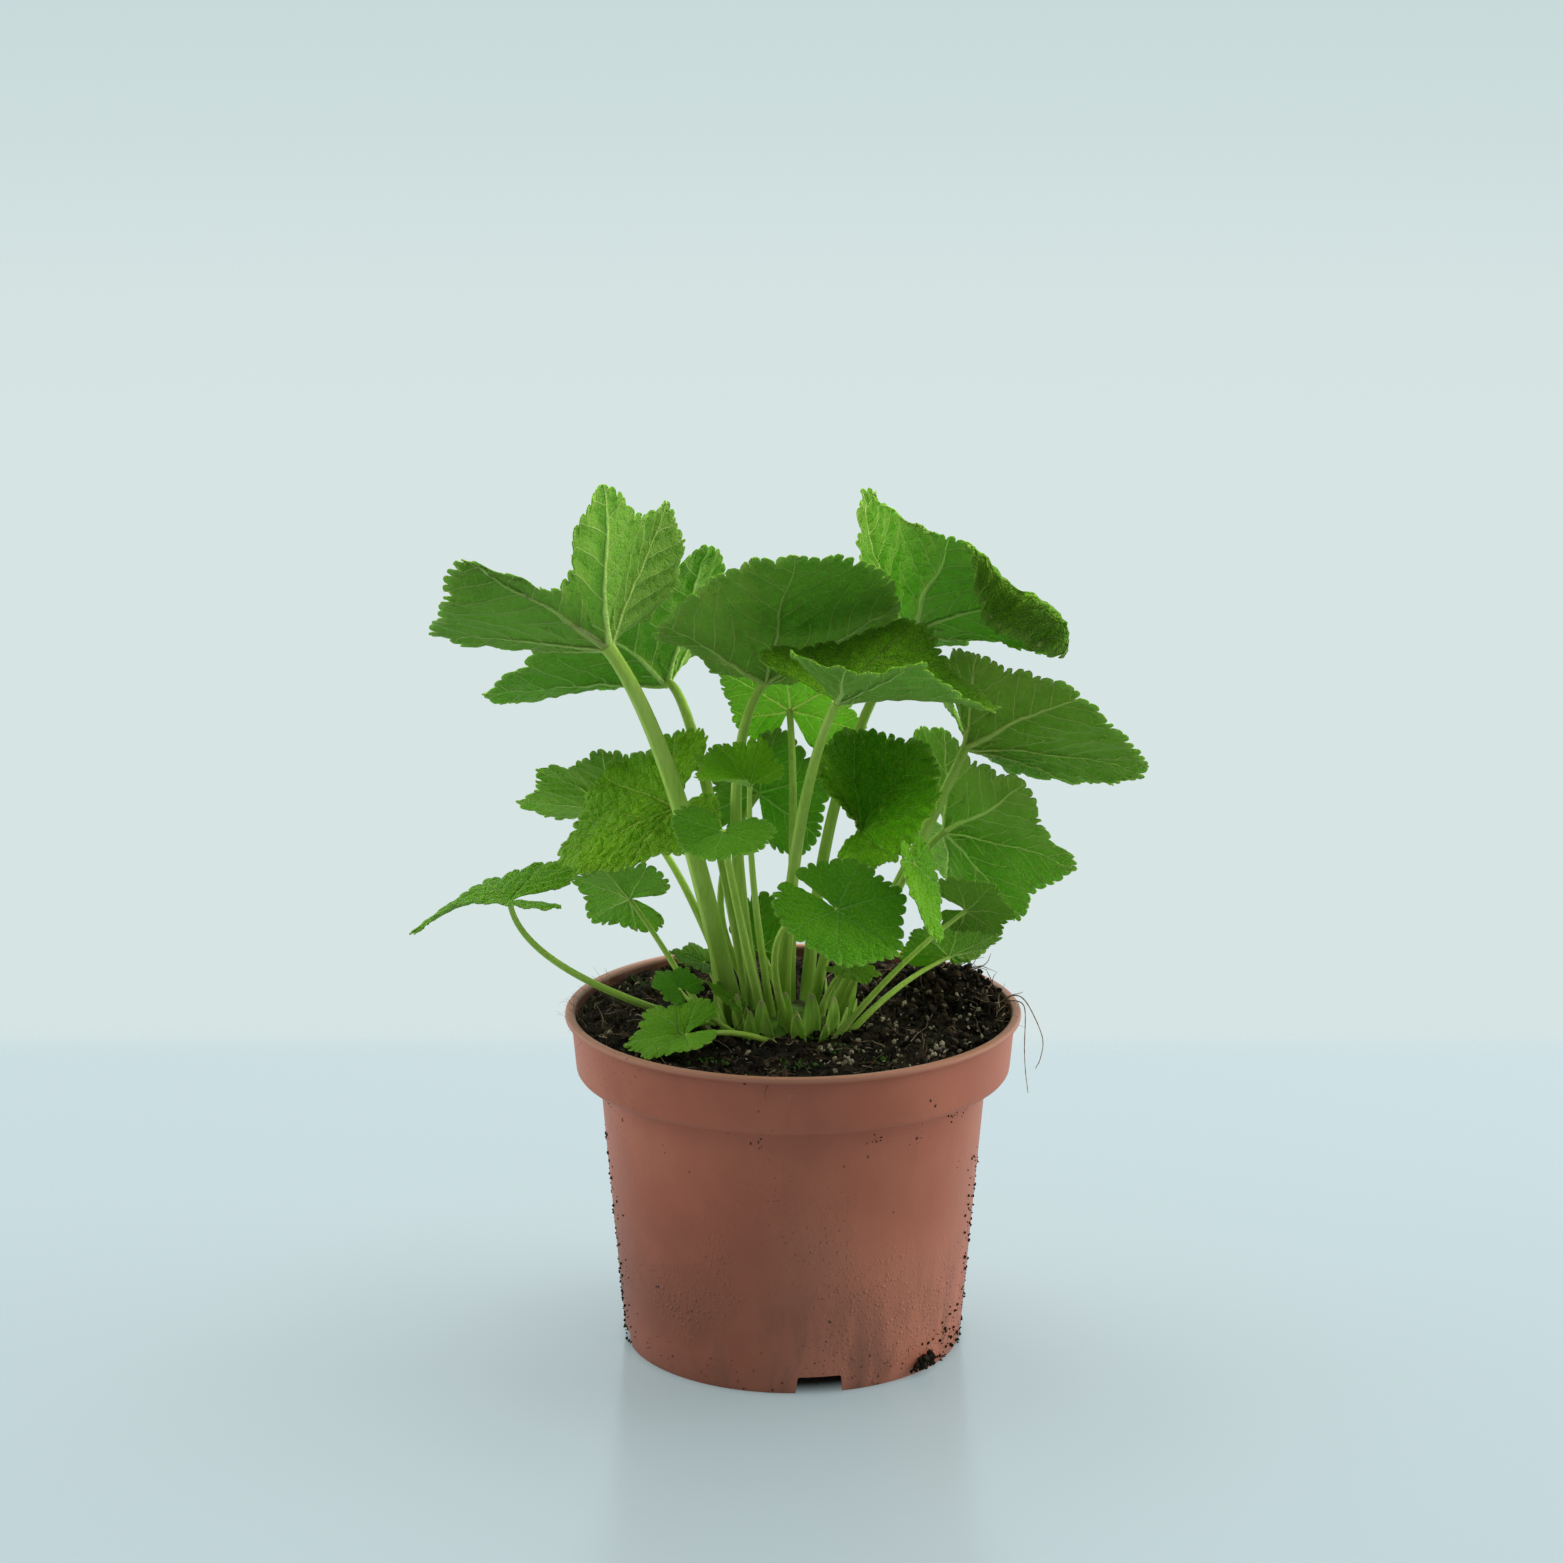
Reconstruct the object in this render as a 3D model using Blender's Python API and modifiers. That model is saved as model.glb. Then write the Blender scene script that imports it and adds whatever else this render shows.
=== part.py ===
"""Young hollyhock in a 13 cm plastic nursery pot.

Units are metres, +Z is up, and the origin is the centre of the pot's foot.
"""

from collections import namedtuple
from math import cos, exp, hypot, pi, radians, sin, sqrt

import bmesh
import bpy
import numpy as np
from mathutils import Matrix, Vector

MM = 0.001
GAP = 0.3  # clearance between touching pieces, mm
MERGE = 0.0001  # vertices closer than this join, m
SMOOTH_ANGLE = 40.0

# Pot, in mm
POT_HEIGHT = 98.0
LIP_RADIUS = 65.0
LIP_DEPTH = 1.7
LIP_UNDERCUT = 0.2
COLLAR_TOP_RADIUS = 63.2
COLLAR_FOOT_RADIUS = 61.9
COLLAR_FOOT = 80.5
BODY_TOP_RADIUS = 55.2
BODY_MIDDLE_RADIUS = 52.2
BODY_MIDDLE = 44.0
FOOT_RADIUS = 48.5
WALL = 1.1
FLOOR_TOP = 7.0
FLOOR_THICKNESS = 1.4
CENTRE_FOOT_RADIUS = 12.0
EDGE_ROUND = 0.7
COLLAR_ROUND = 1.7
COLLAR_ROUND_MIDDLE = 0.5
FOOT_DRAFT = 0.3
CENTRE_FOOT_DRAFT = 0.6
NOTCH_COUNT = 4
NOTCH_TURN = -81.1  # degrees from +X to the first notch
NOTCH_WIDTH = 14.4
NOTCH_HEIGHT = 5.0
NOTCH_TAPER = 0.86
DRAIN_COUNT = 8
DRAIN_RADIUS = 4.0
DRAIN_CIRCLE = 31.0
DRAIN_STEPS = 12
POT_STEPS = 48

# Soil and crown, in mm
SOIL_LEVEL = 94.0
SOIL_RINGS = (12.0, 24.0, 34.0, 44.0, 52.0, 58.0)
MOUND_AT = (43.0, 20.0)
MOUND_HEIGHT = 7.0
MOUND_SPREAD = 15.0
DISH_DEPTH = 1.5
SOIL_STEPS = 36
CROWN_AT = (-4.0, -1.0)
CROWN_RADIUS = 17.0
CROWN_RISE = 4.0
CROWN_SEAT = 91.0
CROWN_ARC_STEPS = 4
CROWN_STEPS = 20
ROOT_SHOULDER = (0.45, 9.0)  # radius as a share of the crown's, and depth below its seat
ROOT_END_RADIUS = 3.5
ROOT_END_TAPER = 12.0
ROOT_TIP = 55.0
SOCKET_OVERRUN = 12.0

# Leaves: the five main veins leave the stalk at these angles from the midrib, in degrees
VEIN_ANGLES = (-104.0, -52.0, 0.0, 52.0, 104.0)
BASE_ANGLE = 158.0
BLADE_THICKNESS = 1.0
BASE_ROUND_FROM = 120.0
BASE_ROUND_TO = 162.0
BASE_REACH = 0.25
SOFT_CURL = (-10, -15, -20, -15, -10)
EVEN_SINUS = (0.16, 0.16, 0.16, 0.16)
BIG_BLADE = 24.0
BIG_GRID = (20, 3)
SMALL_GRID = (14, 2)
STALK_POINTS = 8
STALK_BEVEL = 2
TIP_SHARE = 0.62
ROOT_LIFT = 1.3  # lift of a leaning stalk's foot, as a share of its radius

# at, root and elbow are places in mm and size is the midrib's length in mm. heading, pitch and
# roll turn the blade, lift raises each main vein out of the blade's plane and curl bends it along
# its length, all in degrees. reach is each vein's length as a share of size, and sinus the depth
# of the bays between lobes. The stalk runs from root over elbow to at, and thick is its radius.
Leaf = namedtuple(
    "Leaf",
    "at heading pitch roll size lift reach root elbow thick sinus curl",
    defaults=(EVEN_SINUS, SOFT_CURL),
)
LEAVES = {
    "tall_left": Leaf(
        (-51, -24, 209), 224, 30, 64, 55, (55, 45, 25, 20, 40), (0.60, 0.90, 1.05, 0.85, 0.85),
        (-17, -2), (-33, -20, 168), 2.9, (0.20, 0.15, 0.50, 0.30), (0, -10, -40, -15, -10),
    ),
    "tall_left_rear": Leaf(
        (-37, 39, 184), 239, 29, 42, 53, (40, 20, 20, 20, 40), (0.80, 1.00, 1.05, 0.95, 0.65),
        (-12, 11), (-27, 27, 165), 1.9,
    ),
    "tall_centre": Leaf(
        (-8, 2, 193), -74, 46, -8, 46, (40, 5, 20, 20, 35), (0.60, 0.95, 1.05, 0.95, 0.65),
        (-10, -3), (-16, -2, 160), 1.9, (0.10, -0.12, -0.10, 0.10),
    ),
    "tall_right": Leaf(
        (33, 7, 206), -75, 35, -18, 45, (30, 30, 20, 35, 15), (0.60, 0.95, 0.95, 1.10, 0.55),
        (4, 8), (13, 18, 157), 1.9, (0.10, 0.35, 0.25, 0.20), (40, 35, -10, -90, 0),
    ),
    "front_fold": Leaf(
        (12, -34, 196), 10, -14, 11, 43, (35, 45, 20, 35, 15), (0.80, 0.75, 1.05, 0.95, 0.70),
        (-3, -3), (2, -17, 156), 2.0, (0.16, 0.16, 0.16, 0.16), (0, 0, -20, -20, -20),
    ),
    "right_upper": Leaf(
        (49, 8, 173), -41, -28, -56, 49, (30, 30, 45, 45, 30), (0.60, 1.00, 1.05, 0.80, 0.85),
        (11, 4), (39, 5, 152), 1.9, (0.10, 0.00, 0.10, 0.20),
    ),
    "right_lower": Leaf(
        (44, 24, 144), -48, -23, -71, 42, (15, 20, 40, 25, 20), (0.75, 0.95, 0.95, 0.85, 0.90),
        (10, 12), (28, 18, 126), 1.6,
    ),
    "centre_cup": Leaf(
        (19, -10, 153), 35, 22, 21, 32, (25, 40, 40, 35, 70), (0.75, 0.85, 0.95, 0.95, 0.85),
        (5, -1), (13, -5, 130), 1.7, (0.10, 0.05, 0.05, 0.10),
    ),
    "rear_high": Leaf(
        (-1, 35, 177), -92, 59, -3, 26, (0, 5, 10, 5, 0), (0.65, 0.95, 0.70, 0.75, 0.90),
        (-1, 9), (0, 17, 147), 1.5,
    ),
    "rear_low": Leaf(
        (-10, 40, 151), -58, 61, -24, 26, (-20, -10, 15, -5, -25), (0.60, 0.90, 0.90, 0.95, 0.85),
        (-9, 16), (-21, 27, 122), 1.2,
    ),
    "left_front": Leaf(
        (-34, 12, 154), 157, -42, -42, 39, (10, 15, 25, 25, 5), (0.65, 0.95, 1.05, 0.80, 0.65),
        (-21, 8), (-26, 12, 131), 1.3, (0.05, 0.05, 0.10, 0.10),
    ),
    "left_rear": Leaf(
        (-51, 56, 141), 227, 0, 37, 33, (25, 40, 50, 35, 25), (0.95, 0.95, 0.90, 0.90, 0.70),
        (-16, 9), (-35, 36, 130), 1.3,
    ),
    "front_left": Leaf(
        (-19, -52, 164), -98, -7, -1, 17, (15, -5, 5, 5, 5), (0.90, 0.75, 1.00, 0.90, 0.85),
        (-8, -12), (-15, -25, 133), 1.4, (0.08, 0.08, 0.08, 0.08),
    ),
    "front_curl": Leaf(
        (-12, -24, 170), 115, 3, -15, 19, (15, 40, 30, 45, 35), (0.55, 0.80, 1.05, 0.90, 1.00),
        (-6, -7), (-11, -16, 139), 1.1,
    ),
    "far_left": Leaf(
        (-79, -18, 135), 174, 10, 4, 26, (25, 10, -5, 10, 15), (0.90, 0.70, 1.15, 0.75, 0.85),
        (-23, -5), (-64, -14, 114), 1.2, (0.16, 0.16, 0.16, 0.16), (-10, -20, -50, -20, -10),
    ),
    "left_heart": Leaf(
        (-47, 19, 125), 172, 13, 59, 19, (10, 5, 15, 0, 10), (0.80, 0.90, 0.95, 0.95, 0.80),
        (-25, 3), (-37, 14, 111), 1.0, (0.20, 0.20, 0.20, 0.20),
    ),
    "soil_left": Leaf(
        (-30, -32, 100), 175, -12, -16, 18, (20, 20, 15, 20, 20), (0.70, 1.00, 1.05, 0.85, 0.80),
        (-6, -20), (-17, -27, 99), 1.0, (0.20, 0.20, 0.20, 0.20), (-20, -30, -30, -20, -10),
    ),
    "front_low": Leaf(
        (12, -48, 141), -32, -17, 25, 21, (15, 5, -5, 10, 15), (0.85, 0.95, 1.00, 0.90, 0.80),
        (-1, -14), (-4, -28, 127), 1.1, (0.08, 0.08, 0.08, 0.08),
    ),
    "front_tiny": Leaf(
        (15, -22, 117), -3, -9, 5, 10, (5, 0, 5, 5, 5), (0.80, 0.95, 1.00, 0.90, 0.80),
        (6, -12), (10, -17, 108), 0.9,
    ),
    "bright_hanging": Leaf(
        (33, -40, 152), -22, -70, -2, 23, (10, 15, 10, 5, 15), (0.75, 1.00, 1.00, 0.95, 0.70),
        (12, -5), (24, -17, 127), 1.2, (0.05, 0.05, 0.05, 0.05),
    ),
    "right_young": Leaf(
        (49, 0, 127), -11, -3, -59, 15, (15, 10, 10, 15, 15), (0.80, 0.95, 0.95, 0.95, 0.80),
        (12, -16), (30, -10, 113), 1.0,
    ),
    "right_under": Leaf(
        (45, 18, 108), -69, 52, -9, 18, (20, 15, 15, 10, 25), (0.80, 0.90, 1.00, 0.95, 0.80),
        (16, -11), (30, 0, 104), 1.0,
    ),
    "left_seedling": Leaf(
        (-32, -14, 108), 139, 26, -11, 9, (10, 15, 5, 10, 10), (0.80, 0.95, 1.00, 0.90, 0.80),
        (-12, -18), (-24, -20, 102), 0.8,
    ),
    "left_bud": Leaf(
        (-26, 22, 105), 169, 16, -5, 10, (10, 15, 10, 10, 10), (0.80, 0.95, 1.00, 0.90, 0.80),
        (-20, 15), (-23, 19, 101), 0.8,
    ),
    "crown_upright": Leaf(
        (-10, 25, 108), -85, 78, 0, 21, (10, 10, 0, 10, 10), (0.30, 0.50, 1.00, 0.50, 0.30),
        (-3, 16), (-7, 20, 104), 1.0, (0.10, 0.10, 0.10, 0.10),
    ),
    "crown_feather": Leaf(
        (-18, -15, 105), 169, 37, 6, 9, (10, 10, 10, 10, 10), (0.80, 0.95, 1.00, 0.90, 0.80),
        (-14, -13), (-16, -15, 101), 0.8, (0.30, 0.30, 0.30, 0.30),
    ),
}

# Pale bud scales round the crown: foot x and y, heading and lean in degrees, and length in mm
BUD_SCALES = {
    "bud_scale_front": (2, -19, -100, 60, 12.0),
    "bud_scale_right": (14, 1, 10, 65, 14.0),
    "bud_scale_left": (-11, -13, 235, 60, 10.0),
}
SCALE_WIDTH = 3.2
SCALE_FLATNESS = 0.45
SCALE_TIP_RADIUS = 0.15
SCALE_STEPS = 8

# Root hairs that hang over the rim, in mm
ROOT_THREADS = {
    "root_thread_long": (
        (60.3, 4, 97.6), (62.6, 3, 99.2), (65.4, 1, 99.0), (66.3, 0, 96.0), (66.2, 0, 86.0),
        (66.6, 0, 79.0), (67.4, 0, 72.5),
    ),
    "root_thread_short": (
        (60.1, 7, 97.8), (62.4, 7, 99.4), (65.6, 6, 99.2), (68.6, 5, 95.0), (71.6, 4, 87.5),
        (71.0, 3, 82.0), (69.6, 3, 78.8),
    ),
}
THREAD_RADIUS = 0.25
THREAD_BEVEL = 1

# Finishes: base colour and roughness
POT_PLASTIC = ((0.42, 0.15, 0.09), 0.55)
PEAT = ((0.03, 0.018, 0.012), 0.95)
CROWN_SKIN = ((0.22, 0.34, 0.12), 0.6)
LEAF_GREEN = ((0.09, 0.26, 0.03), 0.55)
YOUNG_GREEN = ((0.16, 0.36, 0.06), 0.55)
STALK_GREEN = ((0.30, 0.48, 0.12), 0.5)
SCALE_GREEN = ((0.45, 0.55, 0.25), 0.6)
ROOT_BROWN = ((0.35, 0.27, 0.18), 0.8)


def clear_scene():
    for obj in list(bpy.data.objects):
        bpy.data.objects.remove(obj)


def new_collection(name):
    collection = bpy.data.collections.new(name)
    bpy.context.scene.collection.children.link(collection)
    return collection


def new_material(name, finish):
    colour, roughness = finish
    material = bpy.data.materials.new(name)
    material.use_nodes = True
    shader = material.node_tree.nodes["Principled BSDF"]
    shader.inputs["Base Color"].default_value = (*colour, 1.0)
    shader.inputs["Roughness"].default_value = roughness
    shader.inputs["Metallic"].default_value = 0.0
    return material


def new_object(name, mesh, collection, material=None):
    obj = bpy.data.objects.new(name, mesh)
    collection.objects.link(obj)
    if material:
        mesh.materials.append(material)
    return obj


def smooth(mesh):
    mesh.shade_smooth()
    mesh.set_sharp_from_angle(angle=radians(SMOOTH_ANGLE))


def turned(name, profile, steps, collection, material=None):
    """A solid turned about Z from (radius, height) points in mm, outer side from top to bottom."""
    mesh = bpy.data.meshes.new(name)
    points = [(radius * MM, 0, height * MM) for radius, height in profile]
    mesh.from_pydata(points, [(i, i + 1) for i in range(len(points) - 1)], [])
    obj = new_object(name, mesh, collection, material)
    screw = obj.modifiers.new("Turn", "SCREW")
    screw.steps = screw.render_steps = steps
    screw.use_merge_vertices = True
    screw.merge_threshold = MERGE
    screw.use_smooth_shade = True
    return obj


def applied(obj):
    """Replaces the object's mesh by the one its modifiers make."""
    graph = bpy.context.evaluated_depsgraph_get()
    mesh = bpy.data.meshes.new_from_object(obj.evaluated_get(graph))
    obj.modifiers.clear()
    obj.data = mesh


def cut(obj, cutter):
    boolean = obj.modifiers.new("Cut " + cutter.name, "BOOLEAN")
    boolean.operation = "DIFFERENCE"
    boolean.solver = "EXACT"
    boolean.object = cutter


def hide_cutter(obj):
    obj.hide_render = True
    obj.display_type = "WIRE"


def pot_inside():
    """The pot's inner wall from floor to lip, as (radius, height)."""
    lip_inside = COLLAR_TOP_RADIUS - WALL
    floor_radius = FOOT_RADIUS + (BODY_MIDDLE_RADIUS - FOOT_RADIUS) * FLOOR_TOP / BODY_MIDDLE
    return [
        (floor_radius - WALL, FLOOR_TOP),
        (BODY_MIDDLE_RADIUS - WALL, BODY_MIDDLE),
        (BODY_TOP_RADIUS - WALL, COLLAR_FOOT + WALL),
        (COLLAR_FOOT_RADIUS - WALL, COLLAR_FOOT + WALL),
        (lip_inside, POT_HEIGHT - EDGE_ROUND),
    ]


def pot_profile():
    underside = FLOOR_TOP - FLOOR_THICKNESS
    lip_foot = POT_HEIGHT - LIP_DEPTH
    return [
        (0, FLOOR_TOP),
        *pot_inside(),
        (COLLAR_TOP_RADIUS - WALL + EDGE_ROUND, POT_HEIGHT),
        (LIP_RADIUS - EDGE_ROUND, POT_HEIGHT),
        (LIP_RADIUS, POT_HEIGHT - EDGE_ROUND),
        (LIP_RADIUS - LIP_UNDERCUT, lip_foot),
        (COLLAR_TOP_RADIUS, lip_foot),
        (COLLAR_FOOT_RADIUS, COLLAR_FOOT + COLLAR_ROUND),
        (COLLAR_FOOT_RADIUS - COLLAR_ROUND_MIDDLE, COLLAR_FOOT + COLLAR_ROUND_MIDDLE),
        (COLLAR_FOOT_RADIUS - COLLAR_ROUND, COLLAR_FOOT),
        (BODY_TOP_RADIUS, COLLAR_FOOT),
        (BODY_MIDDLE_RADIUS, BODY_MIDDLE),
        (FOOT_RADIUS, 0),
        (FOOT_RADIUS - WALL, 0),
        (FOOT_RADIUS - WALL + FOOT_DRAFT, underside),
        (CENTRE_FOOT_RADIUS + CENTRE_FOOT_DRAFT, underside),
        (CENTRE_FOOT_RADIUS, 0),
        (0, 0),
    ]


def notch_cutter(turn, collection):
    """A block across the foot wall, narrower at its top."""
    bpy.ops.mesh.primitive_cube_add(size=1)
    block = bpy.context.object
    block.name = "notch_cutter"
    size = Vector((2 * NOTCH_HEIGHT, NOTCH_WIDTH, 2 * NOTCH_HEIGHT)) * MM
    block.data.transform(
        Matrix.LocRotScale(Vector((FOOT_RADIUS * MM, 0, 0)), None, size)
    )
    for vertex in block.data.vertices:
        if vertex.co.z > 0:
            vertex.co.y *= NOTCH_TAPER
    block.rotation_euler.z = radians(turn)
    for owner in block.users_collection:
        owner.objects.unlink(block)
    collection.objects.link(block)
    hide_cutter(block)
    return block


def drain_cutter(turn, collection):
    bpy.ops.mesh.primitive_cylinder_add(
        vertices=DRAIN_STEPS,
        radius=DRAIN_RADIUS * MM,
        depth=4 * FLOOR_THICKNESS * MM,
        location=(
            DRAIN_CIRCLE * MM * cos(radians(turn)),
            DRAIN_CIRCLE * MM * sin(radians(turn)),
            (FLOOR_TOP - FLOOR_THICKNESS / 2) * MM,
        ),
    )
    drill = bpy.context.object
    drill.name = "drain_cutter"
    for owner in drill.users_collection:
        owner.objects.unlink(drill)
    collection.objects.link(drill)
    hide_cutter(drill)
    return drill


def make_pot(parts, cutters):
    material = new_material("pot_terracotta_plastic", POT_PLASTIC)
    pot = turned("pot", pot_profile(), POT_STEPS, parts, material)
    for i in range(NOTCH_COUNT):
        cut(pot, notch_cutter(NOTCH_TURN + 360 / NOTCH_COUNT * i, cutters))
    for i in range(DRAIN_COUNT):
        cut(pot, drain_cutter(360 / DRAIN_COUNT * (i + 0.5), cutters))


def crown_profile(grow, overrun):
    """The rootstock's outline; for the soil's socket grow widens it and overrun raises its top."""
    arc = []
    for i in range(CROWN_ARC_STEPS + 1):
        share = i / CROWN_ARC_STEPS
        rise = CROWN_RISE * (1 - share**2)
        arc.append((share * (CROWN_RADIUS + grow), SOIL_LEVEL + rise + overrun))
    shoulder_share, shoulder_depth = ROOT_SHOULDER
    return [
        *arc,
        (CROWN_RADIUS + grow, CROWN_SEAT - grow),
        (CROWN_RADIUS * shoulder_share + grow, CROWN_SEAT - shoulder_depth - grow),
        (ROOT_END_RADIUS + grow, ROOT_TIP + ROOT_END_TAPER - grow),
        (0, ROOT_TIP - grow),
    ]


def soil_top(x, y):
    mound = hypot(x - MOUND_AT[0], y - MOUND_AT[1]) / MOUND_SPREAD
    dish = DISH_DEPTH * (hypot(x, y) / LIP_RADIUS) ** 2
    return SOIL_LEVEL - dish + MOUND_HEIGHT * exp(-mound * mound)


def make_soil_and_crown(parts, cutters):
    inside = [(radius - GAP, height) for radius, height in reversed(pot_inside()[:-1])]
    slope = (COLLAR_TOP_RADIUS - COLLAR_FOOT_RADIUS) / (POT_HEIGHT - COLLAR_FOOT)
    edge = COLLAR_FOOT_RADIUS - WALL - GAP + slope * (SOIL_LEVEL - COLLAR_FOOT - WALL)
    for i in (0, 1, -1):
        inside[i] = (inside[i][0], inside[i][1] + GAP)
    top = [(radius, SOIL_LEVEL) for radius in (0, *SOIL_RINGS, edge)]
    material = new_material("peat_soil", PEAT)
    soil = turned("soil", [*top, *inside, (0, FLOOR_TOP + GAP)], SOIL_STEPS, parts, material)
    applied(soil)
    for vertex in soil.data.vertices:
        if vertex.co.z > (SOIL_LEVEL - GAP) * MM:
            vertex.co.z = soil_top(vertex.co.x / MM, vertex.co.y / MM) * MM
    centre = (CROWN_AT[0] * MM, CROWN_AT[1] * MM, 0)
    socket = turned("crown_socket_cutter", crown_profile(GAP, SOCKET_OVERRUN), CROWN_STEPS, cutters)
    socket.location = centre
    hide_cutter(socket)
    cut(soil, socket)
    skin = new_material("crown_skin", CROWN_SKIN)
    crown = turned("crown", crown_profile(0, 0), CROWN_STEPS, parts, skin)
    crown.location = centre


def ground(x, y):
    """Height of the crown, or of the soil round it."""
    share = hypot(x - CROWN_AT[0], y - CROWN_AT[1]) / CROWN_RADIUS
    return max(SOIL_LEVEL + CROWN_RISE * (1 - share**2), soil_top(x, y))


def along_veins(values, angle):
    """A value given at the five main veins, read smoothly at any angle of the blade."""
    knots = (-BASE_ANGLE, *VEIN_ANGLES, BASE_ANGLE)
    held = (values[0], values[0], *values, values[-1], values[-1])
    span = 0
    while span < len(knots) - 2 and angle >= knots[span + 1]:
        span += 1
    t = (angle - knots[span]) / (knots[span + 1] - knots[span])
    before, a, b, after = held[span : span + 4]
    return 0.5 * (
        2 * a
        + (b - before) * t
        + (2 * before - 5 * a + 4 * b - after) * t**2
        + (3 * a - before - 3 * b + after) * t**3
    )


def margin(leaf, angle):
    """How far the blade reaches at this angle, in mm."""
    turn = abs(angle)
    reach = along_veins(leaf.reach, angle)
    if turn < VEIN_ANGLES[-1]:
        bay = leaf.sinus[int((angle - VEIN_ANGLES[0]) // VEIN_ANGLES[3])]
        reach *= 1 - bay * (1 - cos(2 * pi * turn / VEIN_ANGLES[3])) / 2
    if turn > BASE_ROUND_FROM:
        share = (turn - BASE_ROUND_FROM) / (BASE_ROUND_TO - BASE_ROUND_FROM)
        reach *= BASE_REACH + (1 - BASE_REACH) * sqrt(1 - share**2)
    return reach * leaf.size


def blade_axes(leaf):
    """Unit vectors along the midrib, to its left and out of the upper face."""
    heading, pitch, roll = map(radians, (leaf.heading, leaf.pitch, leaf.roll))
    ahead = Vector((cos(pitch) * cos(heading), cos(pitch) * sin(heading), sin(pitch)))
    level = Vector((-sin(heading), cos(heading), 0))
    above = ahead.cross(level)
    return ahead, cos(roll) * level + sin(roll) * above, cos(roll) * above - sin(roll) * level


def blade_point(leaf, axes, angle, share):
    """A point of the blade's middle surface in mm: share runs from the stalk to the margin."""
    out = share * margin(leaf, angle)
    rise = radians(along_veins(leaf.lift, angle) + along_veins(leaf.curl, angle) * share / 2)
    turn = radians(angle)
    ahead, left, up = axes
    flat = out * cos(rise)
    return Vector(leaf.at) + flat * cos(turn) * ahead + flat * sin(turn) * left + out * sin(rise) * up


def make_blade(name, leaf, parts, material):
    """The blade: a grid of angle by reach, drawn together at the stalk, then given a thickness."""
    turns, rings = BIG_GRID if leaf.size >= BIG_BLADE else SMALL_GRID
    mesh = bpy.data.meshes.new("leaf_" + name)
    shape = bmesh.new()
    bmesh.ops.create_grid(shape, x_segments=turns, y_segments=rings, size=0.5)
    axes = blade_axes(leaf)
    for vertex in shape.verts:
        angle = 2 * BASE_ANGLE * vertex.co.x
        share = vertex.co.y + 0.5
        vertex.co = blade_point(leaf, axes, angle, share) * MM
    bmesh.ops.remove_doubles(shape, verts=shape.verts, dist=MERGE / 100)
    bmesh.ops.recalc_face_normals(shape, faces=shape.faces)
    shape.to_mesh(mesh)
    shape.free()
    smooth(mesh)
    obj = new_object("leaf_" + name, mesh, parts, material)
    wall = obj.modifiers.new("Thickness", "SOLIDIFY")
    wall.thickness = BLADE_THICKNESS * MM
    wall.offset = 0
    return obj


def make_stalk(name, leaf, parts, material):
    """A tapering tube from the crown over the elbow to just under the blade."""
    axes = blade_axes(leaf)
    tip_radius = leaf.thick * TIP_SHARE
    elbow = Vector(leaf.elbow)
    arrive = (Vector(leaf.at) - elbow).normalized()
    slant = sqrt(max(0.0, 1 - arrive.dot(axes[2]) ** 2))
    below = BLADE_THICKNESS / 2 + 2 * GAP + tip_radius * slant
    tip = Vector(leaf.at) - axes[2] * below
    root = Vector((*leaf.root, ground(*leaf.root)))
    leave = (elbow - root).normalized()
    root.z += 2 * GAP + ROOT_LIFT * leaf.thick * sqrt(1 - leave.z**2)
    # the middle handle makes the curve pass through the elbow halfway along
    handle = 2 * elbow - (root + tip) / 2
    curve = bpy.data.curves.new("stalk_" + name, "CURVE")
    curve.dimensions = "3D"
    curve.bevel_depth = leaf.thick * MM
    curve.bevel_resolution = STALK_BEVEL
    curve.use_fill_caps = True
    spline = curve.splines.new("POLY")
    spline.points.add(STALK_POINTS - 1)
    for i, point in enumerate(spline.points):
        t = i / (STALK_POINTS - 1)
        place = (1 - t) ** 2 * root + 2 * t * (1 - t) * handle + t**2 * tip
        point.co = (*(place * MM), 1)
        point.radius = 1 + (TIP_SHARE - 1) * t
    new_object("stalk_" + name, curve, parts, material)


def make_bud_scale(name, spec, parts, material):
    """A pale pointed scale that stands on the crown."""
    x, y, heading, lean, length = spec
    mesh = bpy.data.meshes.new(name)
    shape = bmesh.new()
    bmesh.ops.create_cone(
        shape, cap_ends=True, segments=SCALE_STEPS, radius1=SCALE_WIDTH / 2 * MM,
        radius2=SCALE_TIP_RADIUS * MM, depth=length * MM,
    )
    direction = Vector(
        (cos(radians(heading)) * cos(radians(lean)), sin(radians(heading)) * cos(radians(lean)),
         sin(radians(lean)))
    )
    turn = direction.to_track_quat("Z", "Y").to_matrix().to_4x4()
    bmesh.ops.scale(shape, vec=(1, SCALE_FLATNESS, 1), verts=shape.verts)
    bmesh.ops.translate(shape, vec=(0, 0, length / 2 * MM), verts=shape.verts)
    bmesh.ops.transform(shape, matrix=turn, verts=shape.verts)
    shape.to_mesh(mesh)
    shape.free()
    smooth(mesh)
    obj = new_object(name, mesh, parts, material)
    lift = 2 * GAP + SCALE_WIDTH / 2 * cos(radians(lean))
    obj.location = (x * MM, y * MM, (ground(x, y) + lift) * MM)


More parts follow.
